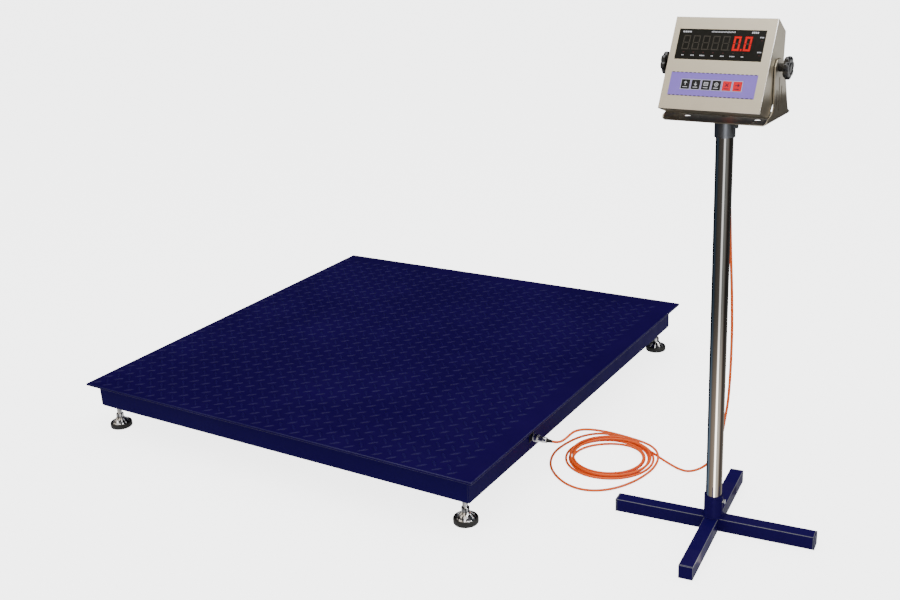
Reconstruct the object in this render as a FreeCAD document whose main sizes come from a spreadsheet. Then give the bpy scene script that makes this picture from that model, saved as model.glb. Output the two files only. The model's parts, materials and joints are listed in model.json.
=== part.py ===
import FreeCAD, Part
import math
import os
import Sketcher

# Floor platform scale with a free-standing indicator column.
# Frame: millimetres, +Z up, origin on the floor at the middle of the whole object's footprint.
# The platform's sides lie along X and Y, and the indicator column stands off its +X side.

Vector = FreeCAD.Vector
Rotation = FreeCAD.Rotation
Placement = FreeCAD.Placement

doc = FreeCAD.newDocument("platform_scale")
sheet = doc.addObject("Spreadsheet::Sheet", "dims")

DIMENSIONS = {
    # platform
    "platform_x": -326, "deck_side": 1200, "deck_thick": 6, "deck_top": 137, "deck_overhang": 24,
    "rail_depth": 64, "rail_wall": 5, "rail_flange": 46, "rail_gap": 0.5,
    "rib_width": 80, "rib_depth": 50, "rib_wall": 4, "rib_length": 1050, "rib_pitch": 340,
    # load cells and feet
    "foot_reach": 548, "cell_length": 130, "cell_side": 32, "cell_top": 119, "cell_end_gap": 16,
    "gauge_inset": 36, "cell_web": 4, "bolt_near": 60, "bolt_far": 88, "spacer_inset": 39,
    "spacer_length": 70, "bolt_dia": 12, "bolt_head": 18, "bolt_head_depth": 7,
    "stud_dia": 12, "stud_bore": 12.2, "nut_flats": 19, "nut_depth": 10,
    "pad_dia": 58, "pad_height": 15, "cup_dia": 49, "cup_sink": 6, "cup_top": 29,
    "cup_neck": 19, "hex_flats": 18, "hex_top": 39, "stud_top": 117,
    # junction box
    "box_x": 415, "box_y": -168, "box_length": 110, "box_width": 75, "box_depth": 40, "box_wall": 3,
    "lid_screw_dia": 6, "lid_screw_inset": 7,
    # plug and socket on the side rail
    "socket_y": -288, "socket_z": 99, "socket_flange": 20, "socket_dia": 16,
    "plug_dia": 19, "plug_start": 8, "plug_end": 43, "boot_end": 58, "boot_dia": 10,
    "socket_bore": 14.4, "cable_dia": 6, "lead_dia": 5,
    # column and base
    "stand_x": 710, "stand_y": -320, "base_turn": 5.2, "base_reach": 216, "tube_side": 30,
    "tube_wall": 2, "cap_thick": 3, "socket_outer": 40, "socket_height": 50, "socket_web": 3,
    "column_dia": 34, "column_wall": 1.5, "column_top": 888, "collar_bottom": 857,
    "collar_web": 6, "screw_dia": 6, "screw_head": 10, "bracket_bolt": 8, "bracket_bolt_head": 15,
    # bracket
    "head_turn": -2, "bracket_z": 895, "bracket_width": 204, "bracket_depth": 128,
    "bracket_wall": 2, "bracket_bend": 8, "arm_top": 113, "pivot_y": -7, "pivot_z": 98,
    "pivot_bore": 8.6, "slot_width": 3.5,
    # indicator housing, measured from the pivot: y backwards, z up along the face
    "face_lean": 28, "case_width": 196, "case_wall": 1.5, "flange_width": 12, "weld_nut_flats": 14,
    "weld_nut_depth": 7, "cover_screw_dia": 3, "gland_thread": 12, "face_y": -42, "face_top": 77,
    "face_bottom": -102, "top_back_y": 7, "top_back_z": 71, "ridge_y": 34, "ridge_z": 8,
    "heel_y": 10, "heel_z": -94,
    "window_x": -2.5, "window_width": 167, "window_top": 53.5, "window_height": 59,
    "keypad_x": -1.5, "keypad_width": 166, "keypad_top": -30.5, "keypad_height": 44.5,
    "keypad_thick": 0.5, "key_width": 16, "key_height": 17.5, "key_pitch": 20, "key_first": -52.8,
    "key_z": -53.2, "key_proud": 1.2, "key_depth": 2.3, "key_gap": 0.3,
    "digit_first": -67, "digit_pitch": 19.4, "digit_width": 17.6, "digit_height": 34, "digit_z": 27.5,
    "washer_dia": 24, "washer_thick": 1.9, "knob_dia": 43, "knob_thick": 10, "hub_dia": 15,
    "hub_length": 11, "knob_gap": 0.3, "knob_stud": 8, "scallop_dia": 11, "scallop_out": 2.4,
    # boards, battery and transformer inside the housing
    "board_thick": 1.6, "board_width": 172, "board_height": 74, "board_bottom": -12, "board_back": 12.4,
    "key_board_width": 130, "key_board_height": 28, "key_board_back": 1.8,
    "battery_width": 70, "battery_depth": 43, "battery_height": 68, "battery_left": -88,
    "battery_front": -35, "battery_bottom": -84,
    "core_width": 48, "core_depth": 20, "core_height": 40, "core_left": 14, "core_front": -24,
    "core_bottom": -88, "winding_width": 28, "winding_depth": 36, "winding_height": 30,
}
for row, (alias, number) in enumerate(DIMENSIONS.items(), start=1):
    sheet.set("A%d" % row, alias)
    sheet.set("B%d" % row, str(number))
    sheet.setAlias("B%d" % row, alias)
doc.recompute()


class Cells:
    """The sheet's numbers, for geometry that is worked out before it is drawn."""

    def __getattr__(self, alias):
        return float(sheet.get(alias))


dim = Cells()
finished = []


def bind(item, **expressions):
    """Ties properties of an object to expressions; a key like Placement__Base__x means a dotted path."""
    for path, expression in expressions.items():
        item.setExpression(path.replace("__", "."), expression)


def keep(item, label, place=None):
    """Marks an object as a finished sub-part, with the name of its file."""
    item.Label = label
    if place is not None:
        item.Placement = place
    finished.append(item)
    return item


# ---------------------------------------------------------------- building blocks

def block(name, size, corner):
    """A box whose size and lowest corner are expressions."""
    item = doc.addObject("Part::Box", name)
    bind(item, Length=size[0], Width=size[1], Height=size[2],
         Placement__Base__x=corner[0], Placement__Base__y=corner[1], Placement__Base__z=corner[2])
    return item


AXIS_TURN = {"x": Rotation(Vector(0, 1, 0), 90), "y": Rotation(Vector(1, 0, 0), -90), "z": Rotation()}


def rod(name, diameter, length, start, axis="z"):
    """A cylinder from start along an axis."""
    item = doc.addObject("Part::Cylinder", name)
    item.Placement = Placement(Vector(), AXIS_TURN[axis])
    bind(item, Radius="(%s) / 2" % diameter, Height=length,
         Placement__Base__x=start[0], Placement__Base__y=start[1], Placement__Base__z=start[2])
    return item


def hexagon(name, flats, length, start, axis="z"):
    """A hexagonal bar, given its width across flats."""
    item = doc.addObject("Part::Prism", name)
    item.Polygon = 6
    item.Placement = Placement(Vector(), AXIS_TURN[axis])
    bind(item, Circumradius="(%s) / sqrt(3)" % flats, Height=length,
         Placement__Base__x=start[0], Placement__Base__y=start[1], Placement__Base__z=start[2])
    return item


def joined(name, pieces):
    item = doc.addObject("Part::MultiFuse", name)
    item.Shapes = pieces
    item.Refine = True
    return item


def cut(name, base, tools):
    item = doc.addObject("Part::Cut", name)
    item.Base = base
    item.Tool = tools[0] if len(tools) == 1 else joined(name + "_tools", tools)
    item.Refine = True
    return item


def group(name, pieces):
    """Separate solids kept together as one sub-part."""
    item = doc.addObject("Part::Compound", name)
    item.Links = pieces
    return item


def origin_plane(body, role):
    return [feature for feature in body.Origin.OriginFeatures if feature.Role == role][0]


def outline(body, name, role, corners, offset="0"):
    """A closed sketch of straight sides on an origin plane, every corner tied to expressions."""
    sketch = body.newObject("Sketcher::SketchObject", name)
    sketch.AttachmentSupport = [(origin_plane(body, role), "")]
    sketch.MapMode = "FlatFace"
    bind(sketch, AttachmentOffset__Base__z=offset)
    points = [Vector(float(sketch.evalExpression(x)), float(sketch.evalExpression(y)), 0)
              for x, y in corners]
    count = len(points)
    for index in range(count):
        sketch.addGeometry(Part.LineSegment(points[index], points[(index + 1) % count]), False)
    for index in range(count):
        sketch.addConstraint(Sketcher.Constraint("Coincident", index, 2, (index + 1) % count, 1))
    for index, (x, y) in enumerate(corners):
        for kind, text, number in (("DistanceX", x, points[index].x), ("DistanceY", y, points[index].y)):
            rule = sketch.addConstraint(Sketcher.Constraint(kind, -1, 1, index, 1, number))
            sketch.renameConstraint(rule, "%s%d" % (kind, index))
            sketch.setExpression("Constraints.%s%d" % (kind, index), text)
    return sketch


def padded(name, role, corners, length, midplane=False, offset="0"):
    """A body made by padding an outline."""
    body = doc.addObject("PartDesign::Body", name)
    sketch = outline(body, name + "_outline", role, corners, offset)
    pad = body.newObject("PartDesign::Pad", name + "_pad")
    pad.Profile = sketch
    pad.Midplane = midplane
    bind(pad, Length=length)
    doc.recompute()
    return body


def turned(name, profile):
    """A body made by turning a closed profile of (radius, height) corners about Z."""
    body = doc.addObject("PartDesign::Body", name)
    sketch = outline(body, name + "_outline", "XZ_Plane", profile)
    turn = body.newObject("PartDesign::Revolution", name + "_turn")
    turn.Profile = sketch
    turn.ReferenceAxis = (sketch, ["V_Axis"])
    turn.Angle = 360
    doc.recompute()
    return body


def pocketed(body, name, role, corners, length, offset="0"):
    """Cuts an outline out of a body on both sides of its plane, and checks that it cut something."""
    before = body.Shape.Volume
    sketch = outline(body, name + "_outline", role, corners, offset)
    pocket = body.newObject("PartDesign::Pocket", name)
    pocket.Profile = sketch
    pocket.Midplane = True
    bind(pocket, Length=length)
    doc.recompute()
    assert body.Shape.Volume < before, name + " cuts nothing"
    return pocket


def rounded(body, name, radius, wanted):
    """Fillets the edges of a body that the test picks."""
    tip = body.Tip
    edges = ["Edge%d" % (index + 1) for index, edge in enumerate(tip.Shape.Edges) if wanted(edge)]
    fillet = body.newObject("PartDesign::Fillet", name)
    fillet.Base = (tip, edges)
    bind(fillet, Radius=radius)
    doc.recompute()
    return fillet


def rectangle(left, right, low, high):
    return [(left, low), (right, low), (right, high), (left, high)]


def centred(size):
    """The lowest coordinate of something of this size about zero."""
    return "-(%s) / 2" % size


# ---------------------------------------------------------------- frames of the three groups

PLATFORM = Placement(Vector(dim.platform_x, 0, 0), Rotation())
STAND = Vector(dim.stand_x, dim.stand_y, 0)
BASE = Placement(STAND, Rotation(Vector(0, 0, 1), dim.base_turn))
YAW = Rotation(Vector(0, 0, 1), dim.head_turn)
BRACKET = Placement(STAND + Vector(0, 0, dim.bracket_z), YAW)
PIVOT = BRACKET.multVec(Vector(0, dim.pivot_y, dim.pivot_z))
HEAD = Placement(PIVOT, YAW * Rotation(Vector(1, 0, 0), -dim.face_lean))
CORNERS = {"front_left": (-1, -1), "front_right": (1, -1), "rear_left": (-1, 1), "rear_right": (1, 1)}


# ---------------------------------------------------------------- platform

def deck_plate():
    half = "dims.deck_side / 2"
    body = padded("deck", "XY_Plane", rectangle("-" + half, half, "-" + half, half),
                  "dims.deck_thick", offset="dims.deck_top - dims.deck_thick")
    top = body.Tip
    edges = ["Edge%d" % (index + 1) for index, edge in enumerate(top.Shape.Edges)
             if edge.BoundBox.ZMin > dim.deck_top - 0.01]
    chamfer = body.newObject("PartDesign::Chamfer", "deck_edge")
    chamfer.Base = (top, edges)
    chamfer.Size = 1
    doc.recompute()
    keep(body, "deck_plate", PLATFORM)


def edge_rail(label, direction):
    """An angle: its wall stands under the deck's edge and its flange lies flat under the deck."""
    outer = "(dims.deck_side / 2 - dims.deck_overhang)"
    under = "(dims.deck_top - dims.deck_thick)"
    section = [
        (outer, "%s - dims.rail_depth" % under),
        (outer, under),
        ("%s - dims.rail_flange" % outer, under),
        ("%s - dims.rail_flange" % outer, "%s - dims.rail_wall" % under),
        ("%s - dims.rail_wall" % outer, "%s - dims.rail_wall" % under),
        ("%s - dims.rail_wall" % outer, "%s - dims.rail_depth" % under),
    ]
    body = padded(label + "_body", "XZ_Plane", section, "2 * %s" % outer, midplane=True)
    for end, sign in (("rear", ""), ("front", "-")):
        # the mitre runs at 45 degrees from the middle, and leaves half of the weld gap
        corners = [("0", sign + "(-dims.rail_gap / 2)"),
                   ("dims.deck_side / 2", sign + "(dims.deck_side / 2 - dims.rail_gap / 2)"),
                   ("dims.deck_side / 2", sign + "dims.deck_side"),
                   ("0", sign + "dims.deck_side")]
        pocketed(body, "%s_mitre_%s" % (label, end), "XY_Plane", corners, "3 * dims.deck_top")
    if label == "rail_right":
        hole = rod("socket_hole", "dims.socket_bore", "4 * dims.rail_wall",
                   (outer + " - 3 * dims.rail_wall", "dims.socket_y", "dims.socket_z"), axis="x")
        body = cut("rail_right_bored", body, [hole])
    keep(body, label, Placement(PLATFORM.Base, Rotation(Vector(0, 0, 1), direction)))


def deck_ribs():
    """Three channels, open upwards, welded under the deck from side to side."""
    ribs = []
    half = "dims.rib_width / 2"
    inner = "(dims.rib_width / 2 - dims.rib_wall)"
    under = "(dims.deck_top - dims.deck_thick)"
    low = "(%s - dims.rib_depth)" % under
    floor = low + " + dims.rib_wall"
    section = [("-" + half, under), ("-" + half, low), (half, low), (half, under),
               (inner, under), (inner, floor), ("-" + inner, floor), ("-" + inner, under)]
    for number in (-1, 0, 1):
        body = padded("rib_%d" % (number + 2), "YZ_Plane", section, "dims.rib_length", midplane=True)
        bind(body, Placement__Base__y="%d * dims.rib_pitch" % number)
        ribs.append(body)
    keep(group("ribs", ribs), "deck_ribs", PLATFORM)


def load_cells():
    """Shear beams bolted under the corners; each foot's stud screws into the free end."""
    cells = []
    spacers = []
    bolts = []
    nuts = []
    low = "(dims.cell_top - dims.cell_side)"
    spacer_depth = "(dims.deck_top - dims.deck_thick - dims.rail_wall - dims.cell_top)"
    bolt_hole = "dims.bolt_dia + 0.5"
    for place, (side_x, side_y) in CORNERS.items():
        foot_x = "%d * dims.foot_reach" % side_x
        foot_y = "%d * dims.foot_reach" % side_y
        gauge_x = "%d * (dims.foot_reach - dims.gauge_inset)" % side_x
        if side_x > 0:
            beam_start = "dims.foot_reach + dims.cell_end_gap - dims.cell_length"
            spacer_start = "dims.foot_reach - dims.spacer_inset - dims.spacer_length"
        else:
            beam_start = "-dims.foot_reach - dims.cell_end_gap"
            spacer_start = "dims.spacer_inset - dims.foot_reach"
        beam = block("beam_" + place, ("dims.cell_length", "dims.cell_side", "dims.cell_side"),
                     (beam_start, foot_y + " - dims.cell_side / 2", low))
        spacer = block("spacer_block_" + place, ("dims.spacer_length", "dims.cell_side", spacer_depth),
                       (spacer_start, foot_y + " - dims.cell_side / 2", "dims.cell_top"))
        thread = rod("beam_thread_" + place, "dims.stud_bore", "dims.cell_side + 2",
                     (foot_x, foot_y, low + " - 1"))
        gauge_pocket = rod("beam_pocket_" + place, "dims.cell_side - 8", "dims.cell_side + 2",
                           (gauge_x, foot_y + " - dims.cell_side / 2 - 1", low + " + dims.cell_side / 2"),
                           axis="y")
        web = block("beam_web_" + place, ("dims.cell_side", "dims.cell_web", "dims.cell_side"),
                    (gauge_x + " - dims.cell_side / 2", foot_y + " - dims.cell_web / 2", low))
        beam_holes = [thread, gauge_pocket]
        spacer_holes = []
        for bolt in ("near", "far"):
            name = "%s_%s" % (place, bolt)
            bolt_x = "%d * (dims.foot_reach - dims.bolt_%s)" % (side_x, bolt)
            beam_holes.append(rod("beam_bolt_" + name, bolt_hole, "dims.cell_side + 2",
                                  (bolt_x, foot_y, low + " - 1")))
            spacer_holes.append(rod("spacer_bolt_" + name, bolt_hole, spacer_depth + " + 2",
                                    (bolt_x, foot_y, "dims.cell_top - 1")))
            shank = rod("shank_" + name, "dims.bolt_dia", "dims.cell_side + " + spacer_depth,
                        (bolt_x, foot_y, low))
            head = hexagon("head_" + name, "dims.bolt_head", "dims.bolt_head_depth",
                           (bolt_x, foot_y, low + " - dims.bolt_head_depth"))
            bolts.append(joined("bolt_" + name, [shank, head]))
        cells.append(joined("cell_" + place, [cut("drilled_" + place, beam, beam_holes), web]))
        spacers.append(cut("spacer_" + place, spacer, spacer_holes))
        nut = hexagon("nut_blank_" + place, "dims.nut_flats", "dims.nut_depth",
                      (foot_x, foot_y, low + " - dims.nut_depth"))
        nut_bore = rod("nut_bore_" + place, "dims.stud_bore", "dims.nut_depth + 2",
                       (foot_x, foot_y, low + " - dims.nut_depth - 1"))
        nuts.append(cut("nut_" + place, nut, [nut_bore]))
    keep(group("cells", cells), "load_cells", PLATFORM)
    keep(group("spacers", spacers), "load_cell_spacers", PLATFORM)
    keep(group("cell_bolts", bolts), "load_cell_bolts", PLATFORM)
    keep(group("lock_nuts", nuts), "foot_lock_nuts", PLATFORM)


def foot(place, side_x, side_y):
    """A levelling foot: rubber pad, chromed cup with a stepped cone, and the stud that screws up."""
    spot = Placement(PLATFORM.Base + Vector(side_x * dim.foot_reach, side_y * dim.foot_reach, 0), Rotation())
    seat = "dims.pad_height - dims.cup_sink"
    pad = turned("pad_" + place, [
        ("0", "0"), ("dims.pad_dia / 2 - 2", "0"), ("dims.pad_dia / 2", "2"),
        ("dims.pad_dia / 2", "dims.pad_height - 2"), ("dims.pad_dia / 2 - 2", "dims.pad_height"),
        ("dims.cup_dia / 2", "dims.pad_height"), ("dims.cup_dia / 2", seat), ("0", seat)])
    keep(pad, "foot_pad_" + place, spot)
    # the cone steps inward in three rings, each with a small lip
    step = "(dims.cup_top - dims.pad_height) / 4"
    rim = "dims.cup_dia / 2 - 1"
    neck = "dims.cup_neck / 2"
    profile = [("0", seat), ("dims.cup_dia / 2 - 0.2", seat),
               ("dims.cup_dia / 2 - 0.2", "dims.pad_height + 2"), (rim, "dims.pad_height + 3")]
    for ring in (1, 2, 3):
        edge = "%s - %d * (%s - %s) / 4" % (rim, ring, rim, neck)
        height = "dims.pad_height + %d * %s" % (ring, step)
        profile.append(("%s + 1.4" % edge, height + " - 1"))
        profile.append(("%s - 0.6" % edge, height + " + 1"))
    profile += [(neck, "dims.cup_top"), ("0", "dims.cup_top")]
    keep(turned("cup_" + place, profile), "foot_cup_" + place, spot)
    bar = rod("stud_bar_" + place, "dims.stud_dia", "dims.stud_top - 1 - dims.hex_top",
              ("0", "0", "dims.hex_top"))
    tip = doc.addObject("Part::Cone", "stud_tip_" + place)
    bind(tip, Radius1="dims.stud_dia / 2", Radius2="dims.stud_dia / 2 - 1", Height="1",
         Placement__Base__z="dims.stud_top - 1")
    grip = hexagon("stud_hex_" + place, "dims.hex_flats", "dims.hex_top - dims.cup_top - 0.3",
                   ("0", "0", "dims.cup_top + 0.3"))
    keep(joined("stud_" + place, [bar, tip, grip]), "foot_stud_" + place, spot)


def junction_box():
    low = "dims.deck_top - dims.deck_thick - dims.box_depth"
    corner = ("dims.box_x - dims.box_length / 2", "dims.box_y - dims.box_width / 2", low)
    shell = block("box_block", ("dims.box_length", "dims.box_width", "dims.box_depth"), corner)
    inside = block("box_inside",
                   ("dims.box_length - 2 * dims.box_wall", "dims.box_width - 2 * dims.box_wall",
                    "dims.box_depth - dims.box_wall"),
                   ("dims.box_x - dims.box_length / 2 + dims.box_wall",
                    "dims.box_y - dims.box_width / 2 + dims.box_wall", low))
    keep(cut("box", shell, [inside]), "junction_box", PLATFORM)
    lid = block("lid_block", ("dims.box_length", "dims.box_width", "dims.box_wall"),
                (corner[0], corner[1], low + " - dims.box_wall"))
    screws = [rod("lid_screw_" + place, "dims.lid_screw_dia", "2",
                  ("dims.box_x + %d * (dims.box_length / 2 - dims.lid_screw_inset)" % side_x,
                   "dims.box_y + %d * (dims.box_width / 2 - dims.lid_screw_inset)" % side_y,
                   low + " - dims.box_wall - 2"))
              for place, (side_x, side_y) in CORNERS.items()]
    keep(joined("lid", [lid] + screws), "junction_box_lid", PLATFORM)


# ---------------------------------------------------------------- cable

def tube_path(points, largest=None):
    """Straight runs joined by tangent arcs, each as large as its two runs allow."""
    edges = []
    radii = []
    start = points[0]
    for index in range(1, len(points) - 1):
        corner = points[index]
        before = (points[index - 1] - corner)
        after = (points[index + 1] - corner)
        turn = math.pi - before.getAngle(after)
        reach = 0.45 * min(before.Length, after.Length)
        if largest is not None:
            reach = min(reach, largest * math.tan(turn / 2))
        radii.append(reach / math.tan(turn / 2))
        enter = corner + before.normalize() * reach
        leave = corner + after.normalize() * reach
        bisector = (enter + leave) * 0.5 - corner
        radius = radii[-1]
        middle = corner + bisector.normalize() * (math.hypot(radius, reach) - radius)
        edges.append(Part.LineSegment(start, enter).toShape())
        edges.append(Part.Arc(enter, middle, leave).toShape())
        start = leave
    edges.append(Part.LineSegment(start, points[-1]).toShape())
    return Part.Wire(edges), radii


def tube(name, route, diameter, largest=None):
    """A round cable along a route, checked against its section times its length."""
    points = [Vector(*point) for point in route]
    wire, radii = tube_path(points, largest)
    section = Part.Wire(Part.Circle(points[0], points[1] - points[0], diameter / 2).toShape())
    solid = wire.makePipeShell([section], True, False)
    wanted = math.pi * diameter ** 2 / 4 * wire.Length
    print("%s: length %.0f, volume %.3f of section times length, smallest radius %.1f"
          % (name, wire.Length, solid.Volume / wanted, min(radii)))
    item = doc.addObject("Part::Feature", name)
    item.Shape = solid
    return item


# Each load cell's lead: the X of its lane along the deck's side, and the Y where it enters the box.
LEAD_LANES = {"front_left": (260, -177), "front_right": (284, -195),
              "rear_left": (260, -159), "rear_right": (284, -141)}
LEAD_RUN_Z = 76
LEAD_ENTRY_Z = 103
LEAD_BEND = 30


def sensor_leads():
    """The four load cells' leads to the junction box, and the lead from there to the socket."""
    leads = []
    cell_face = dim.foot_reach + dim.cell_end_gap - dim.cell_length
    box_face = dim.box_x - dim.box_length / 2
    for place, (side_x, side_y) in CORNERS.items():
        lane, entry = LEAD_LANES[place]
        edge = side_y * dim.foot_reach
        route = [(side_x * cell_face, edge, LEAD_ENTRY_Z), (side_x * (cell_face - 36), edge, LEAD_ENTRY_Z),
                 (side_x * (cell_face - 76), edge, LEAD_RUN_Z), (lane, edge, LEAD_RUN_Z),
                 (lane, entry, LEAD_RUN_Z), (box_face - 45, entry, LEAD_RUN_Z),
                 (box_face - 18, entry, LEAD_ENTRY_Z), (box_face, entry, LEAD_ENTRY_Z)]
        leads.append(tube("lead_" + place, route, dim.lead_dia, largest=LEAD_BEND))
    back = dim.deck_side / 2 - dim.deck_overhang - dim.rail_wall - 12
    exit_x = dim.box_x + dim.box_length / 2
    middle = (exit_x + back) / 2
    route = [(exit_x, dim.box_y, LEAD_ENTRY_Z), (middle, dim.box_y, LEAD_ENTRY_Z),
             (middle, dim.socket_y, dim.socket_z), (back, dim.socket_y, dim.socket_z)]
    leads.append(tube("lead_to_socket", route, dim.lead_dia, largest=LEAD_BEND))
    keep(group("leads", leads), "sensor_leads", PLATFORM)


def cable_fittings():
    """Panel socket on the side rail, the plug screwed on it, and the plug's boot; their axis is X."""
    face = "(dims.deck_side / 2 - dims.deck_overhang)"
    inner = face + " - dims.rail_wall"
    centre = ("dims.socket_y", "dims.socket_z")
    half = "dims.socket_flange / 2"
    flange = block("socket_plate", ("2", "dims.socket_flange", "dims.socket_flange"),
                   (face, "dims.socket_y - " + half, "dims.socket_z - " + half))
    barrel = rod("socket_barrel", "dims.socket_dia", "dims.plug_start - 2",
                 (face + " + 2",) + centre, axis="x")
    rear = rod("socket_rear", "dims.socket_dia - 2", "dims.rail_wall + 12",
               (inner + " - 12",) + centre, axis="x")
    screws = [rod("socket_screw_%d%d" % (side_y + 1, side_z + 1), "3", "1.2",
                  (face + " + 2", "dims.socket_y + %d * (%s - 3)" % (side_y, half),
                   "dims.socket_z + %d * (%s - 3)" % (side_z, half)), axis="x")
              for side_y, side_z in CORNERS.values()]
    keep(joined("socket", [flange, barrel, rear] + screws), "cable_socket", PLATFORM)
    nut = rod("plug_nut", "dims.plug_dia", "14", (face + " + dims.plug_start",) + centre, axis="x")
    body = rod("plug_body", "dims.plug_dia - 3", "12", (face + " + dims.plug_start + 14",) + centre, axis="x")
    clamp = rod("plug_clamp", "dims.plug_dia - 5", "dims.plug_end - dims.plug_start - 26",
                (face + " + dims.plug_start + 26",) + centre, axis="x")
    keep(joined("plug", [nut, body, clamp]), "cable_plug", PLATFORM)
    boot = doc.addObject("Part::Cone", "boot")
    boot.Placement = Placement(Vector(), AXIS_TURN["x"])
    bind(boot, Radius1="dims.boot_dia / 2", Radius2="dims.cable_dia / 2 + 0.8",
         Height="dims.boot_end - dims.plug_end",
         Placement__Base__x=face + " + dims.plug_end + dims.platform_x",
         Placement__Base__y=centre[0], Placement__Base__z=centre[1])
    keep(boot, "cable_boot")


# Where the signal cable lies, in the object's own frame.  The floor loop comes out of the boot,
# sinks to the floor over the coil, goes once round it and runs into it.
FLOOR_LOOP = [
    (308, -288, 99), (321, -288, 99), (330, -281, 99.5), (335, -268, 100), (336, -250, 99),
    (337, -228, 97), (345, -203, 92), (358, -178, 84), (376, -151, 73), (396, -124, 60), (417, -101, 47),
    (441, -83, 36), (465, -75, 26), (484, -81, 17), (495, -99, 10), (499, -125, 5), (498, -158, 3.1),
    (489, -203, 3.1), (472, -245, 3.1), (448, -279, 3.1), (418, -301, 3.1), (384, -309, 3.1),
    (346, -301, 3.1), (308, -277, 3.1), (277, -244, 3.1), (259, -208, 3.1), (250, -168, 3.1),
    (253, -129, 3.1), (262, -91, 3.1), (277, -58, 3.1), (300, -34, 3.1), (328, -23, 3.7),
    (358, -23, 5), (389, -30, 6.5), (418, -45, 7.5),
]
# The riser leaves the coil, bends forward on the floor, rises behind the column and ends at the bracket.
RISER = [
    (446, -66, 6.5), (465, -72, 4.5), (487, -83, 3.1), (510, -95, 3.1), (534, -108, 3.1), (556, -118, 3.3),
    (577, -122, 4.5), (597, -119, 11.5), (615, -116, 24), (631, -118, 44), (645, -126, 70), (657, -137, 102),
    (668, -151, 138), (677, -165, 178), (686, -176, 222), (692, -186, 268), (697, -197, 320),
    (701, -208, 373), (704, -218, 428), (705, -227, 483), (705, -235, 540), (703, -240, 598),
    (701, -242, 656), (698, -242, 714), (695, -241, 772), (692, -239, 830), (690, -237, 880),
    (689, -235, 925),
]
# The coil is a loose ring of turns lying on the floor.
COIL_CENTRE = (385, -138, 0)
COIL_RADIUS = 91
COIL_BAND = 34
COIL_HEIGHT = 18
# The tail's points between the riser's end and the gland.
TAIL_BEND = [(688, -237, 958), (687, -244, 984)]


def cable():
    """The signal cable: floor loop, coil, riser, and the tail that bends as the indicator tilts."""
    keep(tube("floor_loop", FLOOR_LOOP, dim.cable_dia), "cable_floor_loop")
    keep(tube("riser", RISER, dim.cable_dia), "cable_riser")
    route = [RISER[-1]] + TAIL_BEND + [tuple(GLAND_EXIT + GLAND_AXIS * 14), tuple(GLAND_EXIT)]
    keep(tube("tail", route, dim.cable_dia), "cable_tail")
    coil = doc.addObject("PartDesign::Body", "coil")
    sketch = coil.newObject("Sketcher::SketchObject", "coil_section")
    sketch.AttachmentSupport = [(origin_plane(coil, "XZ_Plane"), "")]
    sketch.MapMode = "FlatFace"
    section = Part.Ellipse(Vector(COIL_RADIUS, COIL_HEIGHT / 2, 0), COIL_BAND / 2, COIL_HEIGHT / 2)
    sketch.addGeometry(section, False)
    turn = coil.newObject("PartDesign::Revolution", "coil_turn")
    turn.Profile = sketch
    turn.ReferenceAxis = (sketch, ["V_Axis"])
    turn.Angle = 360
    keep(coil, "cable_coil", Placement(Vector(*COIL_CENTRE), Rotation()))


# ---------------------------------------------------------------- base and column

def base():
    """Cross of square tubes: one right through, two butted on it, and four pressed-in end caps."""
    side = "dims.tube_side"
    wall = "dims.tube_wall"
    reach = "(dims.base_reach - dims.cap_thick)"

    def square_tube(name, length, start):
        outer = block(name + "_outer", (side, length, side), (centred(side), start, "0"))
        inner = block(name + "_inner", (side + " - 2 * " + wall, length + " + 2", side + " - 2 * " + wall),
                      (centred(side) + " + " + wall, start + " - 1", wall))
        return cut(name, outer, [inner])

    long_tube = square_tube("long_tube", "2 * " + reach, "-" + reach)
    keep(long_tube, "base_long_tube", Placement(STAND, BASE.Rotation * Rotation(Vector(0, 0, 1), 90)))
    front = square_tube("front_tube", reach + " - " + side + " / 2", "-" + reach)
    rear = square_tube("rear_tube", reach + " - " + side + " / 2", side + " / 2")
    keep(group("side_tubes", [front, rear]), "base_side_tubes", BASE)
    caps = []
    for number in range(4):
        plate = block("cap_plate_%d" % number, (side, "dims.cap_thick", side), (centred(side), reach, "0"))
        plug_side = side + " - 2 * %s - 0.4" % wall
        plug = block("cap_plug_%d" % number, (plug_side, "8", plug_side),
                     (centred("(%s)" % plug_side), reach + " - 8", wall + " + 0.2"))
        cap = joined("cap_%d" % number, [plate, plug])
        cap.Placement = Placement(Vector(), Rotation(Vector(0, 0, 1), 90 * number))
        caps.append(cap)
    keep(group("end_caps", caps), "base_end_caps", BASE)


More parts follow.
